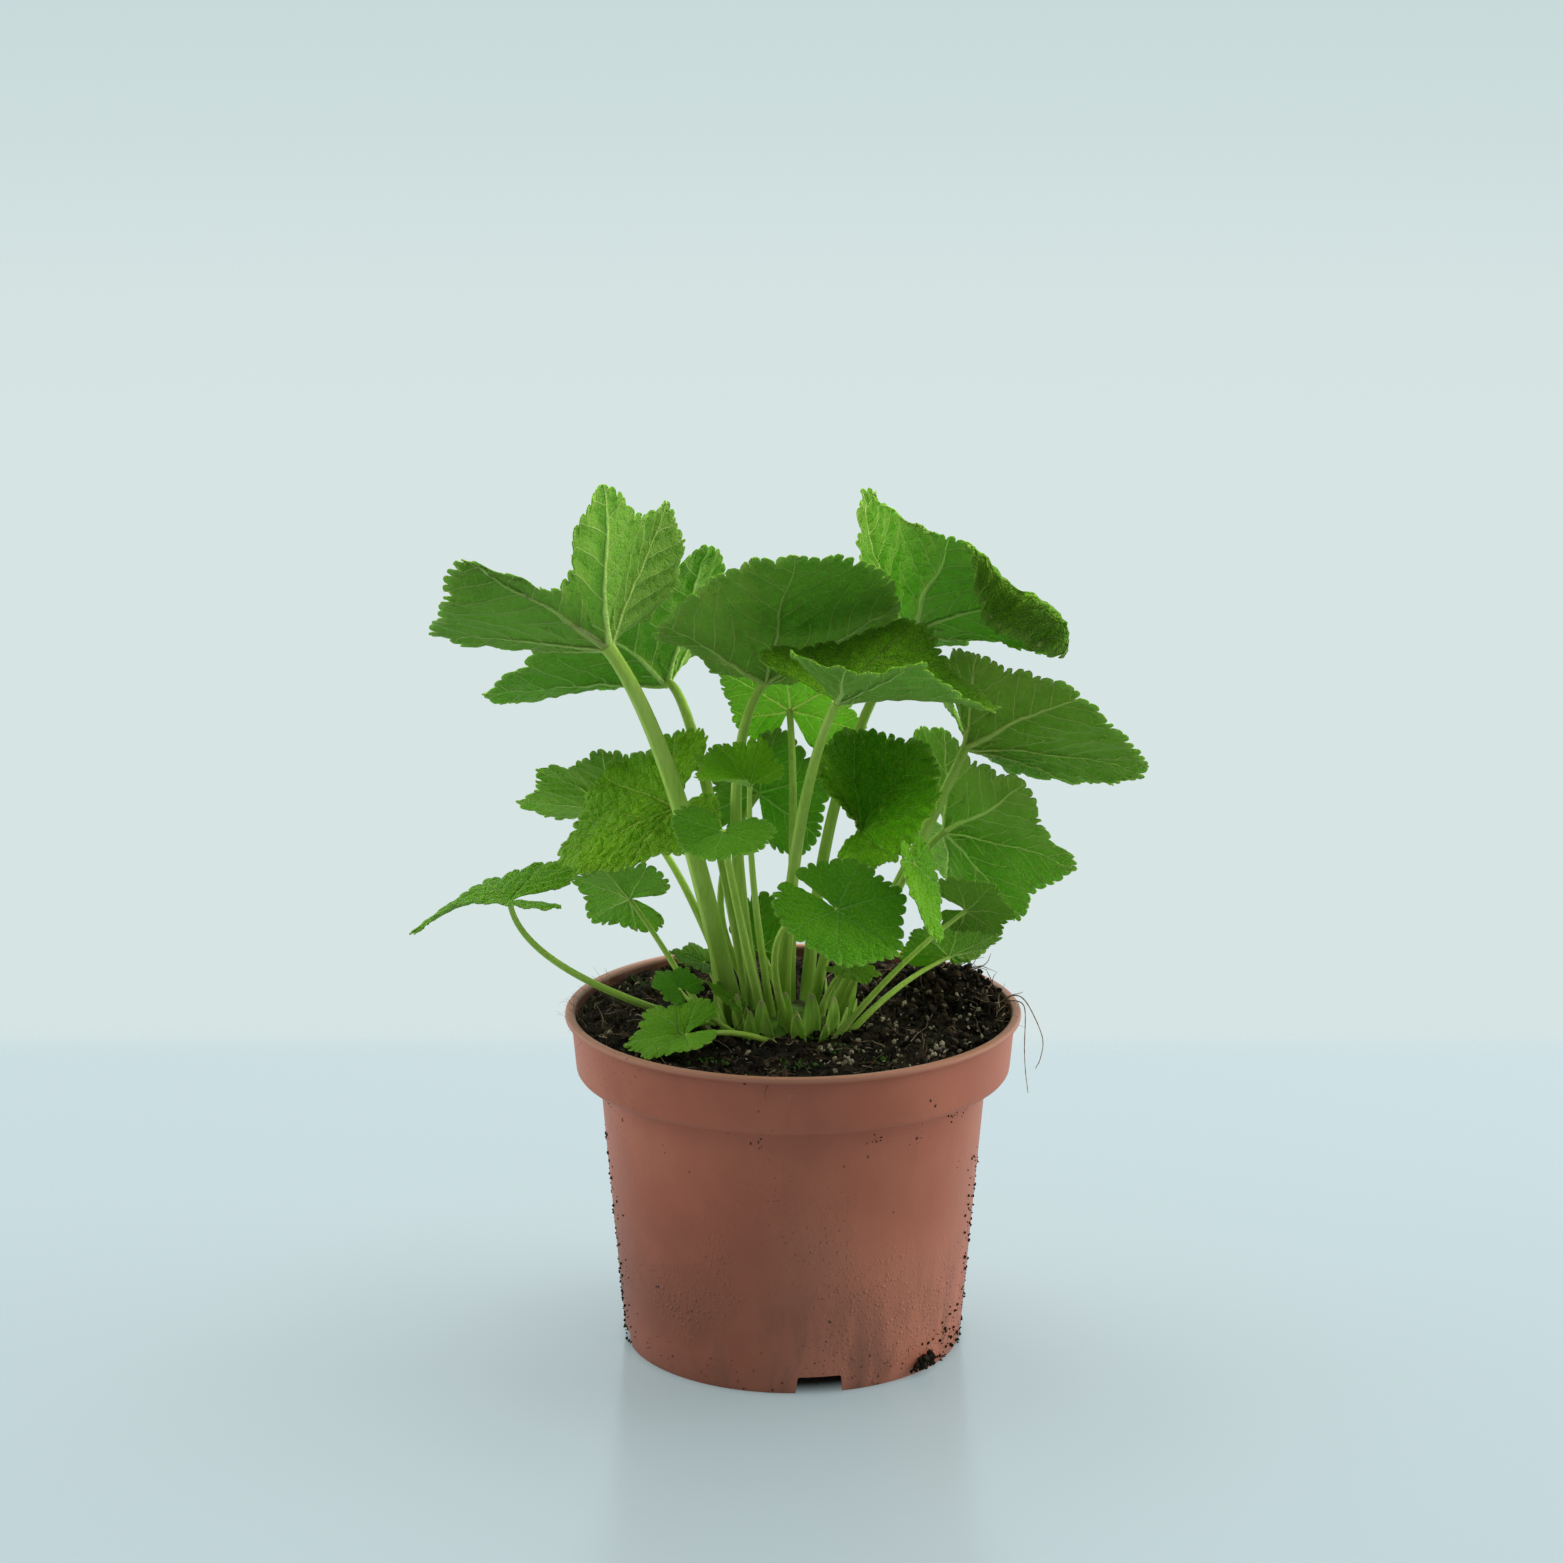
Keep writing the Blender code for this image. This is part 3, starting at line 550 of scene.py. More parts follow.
def blade_finish(name, face, shade, vein, furrow, roughness, sunk):
    """Leaf skin drawn on the blade's own flat map. Its veins are sunk, or else they stand out."""
    skin = Finish(name)
    spot = skin.node("UVMap", uv_map="Blade").outputs[0]
    lines, fine_lines = blade_veins(skin, spot)
    net = skin.cells(15.0, spot, "DISTANCE_TO_EDGE", "2D")
    fine = skin.cells(44.0, spot, "DISTANCE_TO_EDGE", "2D")
    web = skin.step(net, 0.01, 0.06, 1.0, 0.0)
    mesh = skin.step(fine, 0.01, 0.1, 1.0, 0.0)
    fine_lines = skin.most(fine_lines, skin.times(web, 0.75 if sunk else 0.4))
    fine_lines = skin.most(fine_lines, skin.times(mesh, 0.6 if sunk else 0.15))

    patch = skin.step(skin.noise(26.0, 5.0), 0.32, 0.68)
    speck = skin.step(skin.noise(420.0, 2.0), 0.35, 0.7)
    colour = skin.mix(patch, shade, face)
    colour = skin.mix(skin.times(speck, 0.15), colour, face)
    # On the upper side the furrow colour is painted shade that darkens the net of sunk veins. On
    # the underside it is the veins' own paler green.
    colour = skin.mix(fine_lines, colour, furrow)
    colour = skin.mix(skin.times(lines, 0.5) if sunk else lines, colour, vein)
    hue = skin.number("hue")
    for lean, strength, tint in ((hue, 0.6, YELLOWER), (skin.times(hue, -1.0), 0.8, BLUER)):
        share = skin.times(skin.most(lean, 0.0), strength)
        colour = skin.mix(share, colour, skin.tint(colour, tint))
    # Painted light and shade: the light number brightens the skin where light shines through the
    # leaf and darkens it where shade lies.
    light = skin.number("light")
    grey = skin.node("CombineColor", {0: light, 1: light, 2: light}).outputs[0]
    colour = skin.tint(colour, grey)
    edge = skin.step(skin.number("share"), 0.93, 1.0)
    colour = skin.mix(skin.times(edge, 0.25), colour, vein)

    small = skin.times(skin.step(fine, 0.0, 0.3), 0.35)
    height = skin.line(skin.step(net, 0.0, 0.35), 0.6, small)
    height = skin.times(height, 1.0 if sunk else 0.45)
    height = skin.line(lines, -0.6 if sunk else 0.75, height)
    skin.set(
        base_color=colour,
        roughness=skin.line(patch, 0.12, roughness),
        subsurface_weight=0.4,
        subsurface_radius=(0.55, 1.0, 0.15),
        subsurface_scale=0.0014,
        specular_ior_level=0.2 if sunk else 0.1,
        normal=skin.bump(height, 0.0013 if sunk else 0.001, 0.9),
    )
    return skin.material


def stalk_finish():
    """Petiole skin: darker at the foot as painted shade among the crowded stalks, with fine
    streaks, pale patches and a rough nap.
    """
    skin = Finish("Petiole skin")
    along = skin.number("along")
    streak = skin.noise(900.0, 2.0, at=skin.place((1, 1, 0.06)))
    patch = skin.noise(70.0, 3.0)
    streaked = skin.times(skin.step(streak, 0.4, 0.7), 0.35)
    pale = skin.times(skin.step(patch, 0.4, 0.75), 0.3)
    # Painted shade: the colour darkens towards the stalk's foot, where the stalks crowd at the
    # crown.
    colour = skin.mix(skin.step(along, 0.0, 0.3), (0.26, 0.41, 0.05), (0.40, 0.61, 0.085))
    colour = skin.mix(skin.step(along, 0.5, 1.0), colour, (0.40, 0.60, 0.09))
    colour = skin.mix(streaked, colour, (0.20, 0.40, 0.03))
    colour = skin.mix(pale, colour, (0.58, 0.74, 0.22))
    skin.set(
        base_color=colour,
        roughness=0.5,
        subsurface_weight=0.2,
        subsurface_radius=(0.6, 1.0, 0.2),
        subsurface_scale=0.0018,
        specular_ior_level=0.2,
        normal=skin.bump(skin.math("ADD", streak, skin.noise(1500.0, 1.0)), 0.0002, 0.5),
    )
    return skin.material


def scale_finish():
    """Thin green scale, browner towards its tip."""
    skin = Finish("Papery bud scale")
    streak = skin.noise(800.0, 2.0, at=skin.place((1, 1, 0.1)))
    colour = skin.mix(skin.step(streak, 0.3, 0.7), (0.24, 0.46, 0.05), (0.42, 0.66, 0.12))
    colour = skin.mix(skin.step(skin.number("along"), 0.7, 1.0), colour, (0.38, 0.36, 0.16))
    skin.set(
        base_color=colour, roughness=0.55, specular_ior_level=0.2, subsurface_weight=0.4,
        subsurface_radius=(0.8, 1.0, 0.4), subsurface_scale=0.0015,
        normal=skin.bump(streak, 0.0002, 0.5),
    )
    return skin.material


def crown_finish():
    """Rough brown rootstock with green patches."""
    skin = Finish("Rootstock skin")
    patch = skin.noise(160.0, 5.0)
    colour = skin.mix(skin.step(patch, 0.3, 0.7), (0.05, 0.05, 0.015), (0.16, 0.30, 0.045))
    skin.set(
        base_color=colour, roughness=0.7, specular_ior_level=0.15,
        normal=skin.bump(skin.noise(420.0, 4.0), 0.0006, 0.8),
    )
    return skin.material


def soil_finish(name, loose):
    """Nearly black peat with brown patches, pale flecks and moss. Loose crumbs have tones."""
    earth = Finish(name)
    patch = earth.noise(95.0, 5.0, 0.65)
    grain = earth.noise(700.0, 3.0, 0.7)
    flake = earth.cells(420.0)
    colour = earth.mix(earth.step(patch, 0.38, 0.66), *PEAT)
    colour = earth.mix(earth.times(earth.step(grain, 0.56, 0.72), 0.55), colour, PEAT_GRAIN)
    rare = earth.step(earth.noise(160.0, 2.0), 0.52, 0.62)
    fleck = earth.times(earth.step(flake, 0.16, 0.05), rare)
    colour = earth.mix(earth.times(fleck, 0.7), colour, PEAT_FLECK)
    moss = earth.times(earth.step(earth.noise(48.0, 2.0), 0.60, 0.68), earth.step(grain, 0.45, 0.6))
    colour = earth.mix(earth.times(moss, 0.7), colour, MOSS)
    if loose:
        tone = earth.number("tone")
        colour = earth.mix(earth.step(tone, 0.55, 0.9), colour, PEAT_CRUMB)
        colour = earth.mix(earth.step(tone, 1.2, 2.0), colour, PALE_GRAIN)
        colour = earth.mix(earth.step(tone, 2.6, 3.0), colour, MOSS_CRUMB)
    earth.set(
        base_color=colour,
        roughness=0.93,
        specular_ior_level=0.2,
        normal=earth.bump(earth.math("ADD", grain, earth.noise(1700.0, 2.0)), 0.0007, 1.0),
    )
    return earth.material


def fibre_finish():
    """Dead root, from dark brown to straw by its tone."""
    fibre = Finish("Dry root fibre")
    tone = fibre.number("tone")
    colour = fibre.mix(fibre.step(tone, 0.0, 1.0), (0.06, 0.036, 0.02), (0.42, 0.32, 0.2))
    colour = fibre.mix(fibre.step(fibre.noise(600.0), 0.4, 0.7), colour, (0.14, 0.09, 0.05))
    fibre.set(base_color=colour, roughness=0.85, specular_ior_level=0.2)
    return fibre.material


def pot_specks(skin):
    """Specks of peat in clusters, as a mask."""
    specks = skin.times(
        skin.step(skin.cells(230.0), 0.13, 0.06), skin.step(skin.noise(55.0, 2.0), 0.55, 0.63)
    )
    tiny = skin.times(
        skin.step(skin.cells(620.0), 0.14, 0.07), skin.step(skin.noise(30.0, 2.0), 0.5, 0.62)
    )
    return skin.most(specks, skin.times(tiny, 0.8))


def pot_inner_wall_dark(skin, high):
    """Where the wall inside the collar is darker, as a mask."""
    taper = (COLLAR_TOP_RADIUS - COLLAR_FOOT_RADIUS) / (COLLAR_HEAD - COLLAR_BEND)
    outer = skin.line(high, taper, (COLLAR_TOP_RADIUS - COLLAR_HEAD * taper) * MM)
    depth = skin.math("SUBTRACT", outer, skin.length(skin.place((1, 1, 0))))
    inside = skin.times(skin.step(depth, 0.0003, 0.0008), skin.step(high, 0.0812, 0.0822))
    return skin.times(inside, skin.step(skin.noise(140.0, 4.0), 0.25, 0.6, 0.55, 0.95))


def pot_relief(skin, high, marks):
    """Fine grain, specks and, low down, the pimples of dried damp."""
    pimple = skin.math(
        "ADD", skin.step(skin.cells(420.0), 0.32, 0.08), skin.step(skin.cells(800.0), 0.4, 0.1)
    )
    pimple = skin.times(pimple, skin.noise(240.0, 2.0))
    wet = skin.times(skin.step(skin.noise(30.0, 4.0), 0.42, 0.62), skin.step(high, 0.08, 0.02))
    height = skin.line(marks, 0.8, skin.times(pimple, wet))
    height = skin.line(skin.noise(1400.0, 2.0), 0.12, height)
    return skin.line(skin.noise(120.0, 3.0), 0.25, height)


def pot_finish():
    """Moulded plastic in a faded terracotta, dusty, with peat specks and damp marks low down."""
    skin = Finish("Terracotta plastic")
    spot = skin.node("SeparateXYZ", {0: skin.place()})
    right, high = spot.outputs[0], spot.outputs[2]
    cloud = skin.noise(26.0, 4.0)
    dust = skin.step(skin.noise(9.0, 3.0), 0.42, 0.72)
    damp = skin.times(skin.step(high, 0.075, 0.012), skin.step(right, 0.012, -0.034))
    damp = skin.times(damp, skin.step(skin.noise(34.0, 4.0), 0.2, 0.6, 0.35, 0.85))
    smear = skin.step(skin.noise(60.0, 5.0, 0.7, at=skin.place((1, 1, 0.25))), 0.46, 0.68)
    stain = skin.times(smear, skin.line(skin.step(high, 0.045, 0.0), 0.55, 0.12))
    marks = pot_specks(skin)
    colour = skin.mix(skin.step(cloud, 0.3, 0.7), *TERRACOTTA)
    colour = skin.mix(skin.times(dust, 0.35), colour, POT_DUST)
    colour = skin.mix(damp, colour, POT_DAMP)
    colour = skin.mix(stain, colour, POT_STAIN)
    colour = skin.mix(marks, colour, POT_SPECK)
    # Darker on the wall inside the collar.
    colour = skin.mix(pot_inner_wall_dark(skin, high), colour, POT_INNER_WALL)
    colour = skin.mix(skin.times(skin.step(high, 0.0966, 0.0972), 0.6), colour, POT_LIP)
    skin.set(
        base_color=colour,
        roughness=skin.line(marks, 0.3, skin.line(cloud, 0.16, 0.40)),
        specular_ior_level=0.42,
        normal=skin.bump(pot_relief(skin, high, marks), 0.0005, 0.8),
    )
    return skin.material


# ---------------------------------------------------------------- leaves


def smooth_between(before, a, b, after, t):
    """A smooth curve from a at t = 0 to b at t = 1, with the values on either side of them."""
    return 0.5 * (
        2 * a
        + (b - before) * t
        + (2 * before - 5 * a + 4 * b - after) * t**2
        + (3 * a - before - 3 * b + after) * t**3
    )


def along_veins(values, angle):
    """A value given at the five main veins, read smoothly at any angle of the blade."""
    held = np.array((values[0], values[0], *values, values[-1], values[-1]), float)
    span = np.clip(np.searchsorted(KNOTS, angle, side="right") - 1, 0, len(KNOTS) - 2)
    t = (angle - KNOTS[span]) / (KNOTS[span + 1] - KNOTS[span])
    return smooth_between(*(held[span + i] for i in range(4)), t)


def outline(leaf, angle):
    """How far the blade reaches at each angle, in mm, before its teeth are cut."""
    turn = np.abs(angle)
    reach = along_veins(leaf.reach, angle)
    gap = np.clip(((angle - VEIN_ANGLES[0]) // VEIN_STEP).astype(int), 0, 3)
    between = (angle - VEIN_ANGLES[0]) / VEIN_STEP % 1
    between = between ** np.where(gap == 2, leaf.lean, 1.0)
    bay = np.array(leaf.sinus)[gap] * np.sin(pi * between) ** 1.4
    reach *= np.where(turn < VEIN_ANGLES[-1], 1 - bay, 1)
    share = np.clip((turn - BASE_ROUND_FROM) / (BASE_ROUND_TO - BASE_ROUND_FROM), 0, 1)
    reach *= np.where(
        turn > BASE_ROUND_FROM, leaf.base + (1 - leaf.base) * np.sqrt(1 - share**2), 1
    )
    return reach * leaf.size


def blade_axes(leaf):
    """Unit vectors along the midrib, to its left and out of the upper face."""
    heading, pitch, roll = map(radians, (leaf.heading, leaf.pitch, leaf.roll))
    ahead = Vector((cos(pitch) * cos(heading), cos(pitch) * sin(heading), sin(pitch)))
    level = Vector((-sin(heading), cos(heading), 0))
    above = ahead.cross(level)
    return ahead, cos(roll) * level + sin(roll) * above, cos(roll) * above - sin(roll) * level


def vein_map(flat):
    """Distances along and beside the nearest main vein, and the count of side veins passed."""
    turn = np.arctan2(flat[..., 1], flat[..., 0])
    reach = np.hypot(flat[..., 0], flat[..., 1])
    step = radians(VEIN_STEP)
    local = turn - np.clip(np.round(turn / step), -2, 2) * step
    along = reach * np.cos(local)
    across = reach * np.sin(local)
    side = np.abs(across)
    start = along - SIDE_VEIN_SLOPE * side - SIDE_VEIN_BEND * side**2
    return along, side, start / SIDE_VEIN_GAP + 0.5 * (across > 0)


def tooth_columns(leaf, draw):
    """The blade's columns, six to a tooth: angle, outline's reach, teeth's reach and way round."""
    fine = np.linspace(-BASE_ANGLE, BASE_ANGLE, 3001)
    reach = outline(leaf, fine)
    edge = np.stack((reach * np.cos(np.radians(fine)), reach * np.sin(np.radians(fine))), 1)
    run = np.concatenate(([0], np.cumsum(np.linalg.norm(np.diff(edge, axis=0), axis=1))))
    pitch = TOOTH_PITCH[0] + TOOTH_PITCH[1] * leaf.size
    teeth = max(LEAST_TEETH, round(run[-1] / pitch))
    shift = np.concatenate(([0], draw.uniform(-0.24, 0.24, teeth - 1), [0]))
    notches = np.arange(teeth + 1) + shift
    notches *= run[-1] / teeth
    depth = pitch * TOOTH_DEPTH * draw.uniform(0.65, 1.2, teeth)
    spots = (notches[:-1, None] + np.diff(notches)[:, None] * TOOTH_PHASES).ravel()
    cuts = (-depth[:, None] * (1 - TOOTH_HEIGHTS)).ravel()
    spots = np.append(spots, run[-1])
    cuts = np.append(cuts, -depth[-1])
    wave = pi * spots / (pitch * draw.uniform(4.2, 5.2)) + draw.uniform(0, pi)
    lobule = pitch * LOBULE_HEIGHT * np.abs(np.sin(wave))
    angle = np.interp(spots, run, fine)
    return angle, outline(leaf, angle), cuts + lobule, spots


def folded(leaf, angle, out, reach, run):
    """Bends the folded margins under, each over 12 degrees at its ends.

    Gives the reach, how far each spot is ahead of the stalk and above the blade, and how far it is
    past the fold.
    """
    flap = sum(
        size * np.clip(np.minimum(angle - start, end - angle) / 12, 0, 1)
        for start, end, size in leaf.folds
    )
    fold_at = reach * (1 + 0.03 * np.sin(run / 4))
    out = out * (1 + flap)
    over = np.maximum(out - fold_at, 0) * (flap > 0)
    turn = np.minimum(over / FOLD_RADIUS, FOLD_TURN)
    rest = over - FOLD_RADIUS * turn
    ahead_by = out - over + FOLD_RADIUS * np.sin(turn) + rest * np.cos(turn)
    above_by = -FOLD_RADIUS * (1 - np.cos(turn)) - rest * np.sin(turn)
    return out, ahead_by, above_by, over


def blade_relief(leaf, pucker, seed, flat, share, run, bend):
    """How far each spot of the blade rises: quilted between veins, furrowed on them, ruffled."""
    along, side, count = vein_map(flat)
    quilt = (0.5 + 0.5 * np.cos(2 * pi * count)) * np.clip(side / 0.05, 0, 1)
    quilt *= 0.6 * np.clip((1.03 - share) / 0.15, 0.1, 1) * np.clip(share * 4, 0, 1)
    furrow = np.exp(-((side / 0.022) ** 2)) * np.clip(1.1 - along, 0.1, 1)
    ruffle = np.sin(run * 2 * pi / (0.26 * leaf.size) + bend[2]) * share**4
    ruffle += 0.8 * np.sin(run * 2 * pi / (leaf.size * 0.9) + bend[3]) * share**3
    rough = lumps(np.append(flat, np.zeros_like(flat[..., :1]), -1).reshape(-1, 3), 13.0, 2, seed)
    rough = rough.reshape(quilt.shape) * np.clip(share * 5, 0, 1)
    return coarseness(leaf) * (1.1 * quilt - 0.75 * furrow + 0.55 * ruffle + pucker * rough)


def coarseness(leaf):
    """How coarse and thick the blade is, against a leaf of 50 mm."""
    return max(0.35, leaf.size / 50)


def surface_normals(spots, spare):
    """The grid's unit normals, or the spare one where its rows meet."""
    normal = np.cross(np.gradient(spots, axis=1), np.gradient(spots, axis=0))
    size = np.linalg.norm(normal, axis=-1, keepdims=True)
    return np.where(size > 1e-6, normal / np.maximum(size, 1e-6), spare)


def weigh_veins(blade, flat):
    """Gives the blade a vertex group that is heavy on its veins."""
    along, side, count = vein_map(flat)
    ridge = np.exp(-((side / 0.012) ** 2)) * np.clip(1.0 - along, 0.12, 1)
    branch = np.exp(-((np.abs(count % 1 - 0.5) / 0.09) ** 2))
    branch = branch * 0.22 * np.clip(1 - 1.2 * side, 0, 1)
    weight = np.clip(np.maximum(ridge, branch), 0, 1).ravel()
    group = blade.vertex_groups.new(name="ridge")
    for level in range(1, RIDGE_LEVELS + 1):
        members = np.nonzero(np.round(weight * RIDGE_LEVELS) == level)[0]
        if len(members):
            group.add(members.tolist(), level / RIDGE_LEVELS, "REPLACE")


def paint_blade(blade, name, angle, share, over):
    """Gives each vertex its share of the reach, its painted light and shade, and its hue."""
    light, hue = PAINTED_LIGHT_AND_HUES.get(name, (1.0, 0.0))
    if isinstance(light, tuple):
        light = along_veins(light, angle)
    # Painted shade: the margin folded under, past its bend, is a quarter darker.
    light = light * np.where(over > FOLD_RADIUS, 0.75, 1.0)
    everywhere = np.ones(over.shape)
    set_number(blade, "share", (everywhere * share).ravel())
    set_number(blade, "light", (everywhere * light).ravel())
    set_number(blade, "hue", (everywhere * hue).ravel())


def make_blade(name, leaf, seed, finishes):
    """A toothed, puckered blade: a grid of angle by reach, drawn together at the stalk."""
    draw = np.random.default_rng(seed)
    angle, reach, tooth, run = (values[::-1] for values in tooth_columns(leaf, draw))
    rings = max(12, ceil(leaf.size * 0.62))
    share = np.append(np.linspace(0, 0.93, rings) ** 0.95, (0.966, 1.0))[:, None]
    out = share * reach + tooth * np.clip((share - (1 - TOOTH_BAND)) / TOOTH_BAND, 0, 1) ** 1.5
    past = np.maximum(np.abs(angle) - VEIN_ANGLES[-1], 0) * np.sign(angle)
    turn = np.radians(angle + past * (leaf.shut - 1))
    rise = np.radians(along_veins(leaf.lift, angle) + along_veins(leaf.curl, angle) * share / 2)
    out, ahead_by, above_by, over = folded(leaf, angle, out, reach, run)
    level = ahead_by * np.cos(rise) - above_by * np.sin(rise)
    ahead, left, up = (np.array(axis) for axis in blade_axes(leaf))
    spots = (
        np.array(leaf.at)
        + (level * np.cos(turn))[..., None] * ahead
        + (level * np.sin(turn))[..., None] * left
        + (ahead_by * np.sin(rise) + above_by * np.cos(rise))[..., None] * up
    )
    flat = np.stack((out * np.cos(turn), out * np.sin(turn)), -1) / leaf.size
    bend = draw.uniform(0, 2 * pi, 4)
    flat[..., 0] += 0.012 * np.sin(flat[..., 1] * 9 + bend[0]) * np.minimum(1, share * 3)
    flat[..., 1] += 0.016 * np.sin(flat[..., 0] * 11 + bend[1]) * np.minimum(1, share * 3)
    relief = blade_relief(leaf, PUCKERS.get(name, EVEN_PUCKER), seed, flat, share, run, bend)
    spots = spots + surface_normals(spots, up) * relief[..., None]

    bpy.ops.mesh.primitive_grid_add(
        x_subdivisions=len(angle) - 1, y_subdivisions=len(share) - 1, size=1
    )
    blade = made("blade_" + name)
    set_vertices(blade, spots.reshape(-1, 3) * MM)
    layer = blade.data.uv_layers[0]
    layer.name = "Blade"
    corners = np.empty(len(blade.data.loops), int)
    blade.data.loops.foreach_get("vertex_index", corners)
    layer.data.foreach_set("uv", flat.reshape(-1, 2)[corners].ravel())
    paint_blade(blade, name, angle, share, over)
    weigh_veins(blade, flat)
    edit(blade)
    bpy.ops.mesh.remove_doubles(threshold=0.00001)
    end_edit()
    for finish in finishes:
        blade.data.materials.append(finish)
    scale = coarseness(leaf)
    apply_modifier(
        blade, "SOLIDIFY", thickness=BLADE_THICKNESS * scale * MM, offset=-1.0,
        vertex_group="ridge", thickness_vertex_group=min(0.6, BETWEEN_VEINS / scale),
        use_even_offset=False, material_offset=1, material_offset_rim=0,
    )
    smooth(blade, 60)
    slot_name = "leaf_blade" if leaf.size >= LARGE_LEAF else "young_leaf_blade"
    return finish_piece(blade, slot_name, "leaf_" + name)


# ---------------------------------------------------------------- stalks


def soil_top(x, y):
    """Height of the soil: a shallow dish, banked up by the wall, with a mound at the right."""
    mound = hypot(x - MOUND_AT[0], y - MOUND_AT[1]) / MOUND_SPREAD
    out = hypot(x, y) / LIP_RADIUS
    dish = SOIL_LEVEL - DISH_DEPTH * out**2 + WALL_BANK * out**6
    return dish + MOUND_HEIGHT * np.exp(-mound * mound)


def ground(x, y):
    """Height of the crown, or of the soil round it."""
    share = hypot(x - CROWN_AT[0], y - CROWN_AT[1]) / CROWN_RADIUS
    return max(SOIL_LEVEL + CROWN_RISE * (1 - share**2), soil_top(x, y))


def add_tube(name, points, radii, section=None, sides=2):
    """A tube through the points, with a radius at each, as a closed mesh."""
    bpy.ops.curve.primitive_bezier_curve_add()
    tube = made(name)
    curve = tube.data
    curve.splines.clear()
    spline = curve.splines.new("POLY")
    spline.points.add(len(points) - 1)
    for point, place, radius in zip(spline.points, points, radii):
        point.co = (*(Vector(place) * MM), 1)
        point.radius = radius
    curve.use_fill_caps = True
    if section:
        curve.bevel_mode = "OBJECT"
        curve.bevel_object = section
    else:
        curve.bevel_depth = MM
        curve.bevel_resolution = sides
    tube.location = (0, 0, 0)
    pick(tube)
    bpy.ops.object.convert(target="MESH")
    tube = bpy.context.object
    edit(tube)
    bpy.ops.mesh.remove_doubles(threshold=0.000005)
    bpy.ops.mesh.normals_make_consistent(inside=False)
    end_edit()
    return tube


def ribbed_section():
    """The petiole's cross-section, a circle of 1 mm with shallow ribs."""
    bpy.ops.curve.primitive_bezier_circle_add()
    section = made("petiole_section")
    section.data.splines.clear()
    spline = section.data.splines.new("POLY")
    spline.use_cyclic_u = True
    ribs, each = 8, 4
    spline.points.add(ribs * each - 1)
    for i, point in enumerate(spline.points):
        turn = 2 * pi * i / (ribs * each)
        reach = MM * (1 + 0.035 * cos(ribs * turn))
        point.co = (reach * cos(turn), reach * sin(turn), 0, 1)
    return section


def stalk_path(leaf, steps):
    """Points of the stalk's middle line, from below the crown's skin up to the blade."""
    axes = blade_axes(leaf)
    tip = Vector(leaf.at) - axes[2] * 0.35
    elbow = Vector(leaf.elbow)
    root = Vector((*leaf.root, ground(*leaf.root)))
    handle = 2 * elbow - (root + tip) / 2
    path = [
        (1 - t) ** 2 * root + 2 * t * (1 - t) * handle + t**2 * tip
        for t in np.linspace(0, 1, steps).tolist()
    ]
    leave = (path[1] - path[0]).normalized()
    return [path[0] - leave * 2.5 - Vector((0, 0, 1.5)), *path]


def make_stalk(name, leaf, section, finish):
    """A ribbed petiole that tapers to its blade and swells a little at both ends."""
    path = stalk_path(leaf, STALK_STEPS)
    t = np.concatenate(([0], np.linspace(0, 1, STALK_STEPS)))
    radii = leaf.thick * (1 + (TIP_SHARE - 1) * t)
    radii *= 1 + 0.25 * np.exp(-((t / 0.05) ** 2)) + 0.22 * np.exp(-(((1 - t) / 0.03) ** 2))
    stalk = add_tube("petiole_" + name, path, radii.tolist(), section)
    middle = np.array([tuple(p) for p in path]) * MM
    nearest = np.argmin(
        np.linalg.norm(vertices_of(stalk)[:, None] - middle[None], axis=-1), axis=1
    )
    set_number(stalk, "along", t[nearest])
    smooth(stalk, 50)
    return finish_piece(stalk, "leaf_stalk", "stalk_" + name, materials=[finish])


# ---------------------------------------------------------------- crown and bud scales


def make_crown(finish):
    """The knobbly rootstock just proud of the soil, with its root below."""
    bpy.ops.mesh.primitive_uv_sphere_add(
        segments=64, ring_count=40, radius=1, location=(0, 0, 0)
    )
    crown = made("crown_body")
    places = vertices_of(crown)
    bulge = lumps(places, 2.6, 4, 3.0)
    spread = (CROWN_RADIUS - 1.5) * (1 + 0.12 * bulge)
    below = np.clip(-places[:, 2], 0, 1)
    x = places[:, 0] * spread * (1 - 0.75 * below) + CROWN_AT[0]
    y = places[:, 1] * spread * (1 - 0.75 * below) + CROWN_AT[1]
    z = np.where(places[:, 2] > 0, places[:, 2] * (CROWN_RISE + 1.6), places[:, 2] * 36)
    z = z + SOIL_LEVEL - 1 + np.where(places[:, 2] > 0, 1.6 * bulge, 0)
    set_vertices(crown, np.stack((x, y, z), 1) * MM)
    smooth(crown, 60)
    return finish_piece(crown, "crown_skin", "crown", materials=[finish])


def bud_scale(width, length, cup, steps=8):
    """A pointed, cupped bud scale that stands on its foot, as a mesh of its own."""
    bpy.ops.mesh.primitive_grid_add(x_subdivisions=4, y_subdivisions=steps, size=1)
    scale = bpy.context.object
    places = vertices_of(scale)
    share = places[:, 1] + 0.5
    half = width * np.sqrt(np.clip(1 - share**1.6, 0, 1)) * (0.75 + 0.25 * np.sin(pi * share))
    across = places[:, 0] * half
    set_vertices(scale, np.stack((
        across, cup * (across / width * 2) ** 2 * 0.5 - 0.12 * length * share**2, share * length,
    ), 1) * MM)
    set_number(scale, "along", share)
    edit(scale)
    bpy.ops.mesh.remove_doubles(threshold=0.00001)
    end_edit()
    apply_modifier(scale, "SOLIDIFY", thickness=0.35 * MM, offset=0.0)
    apply_modifier(scale, "SUBSURF", levels=1, render_levels=1)
    return scale


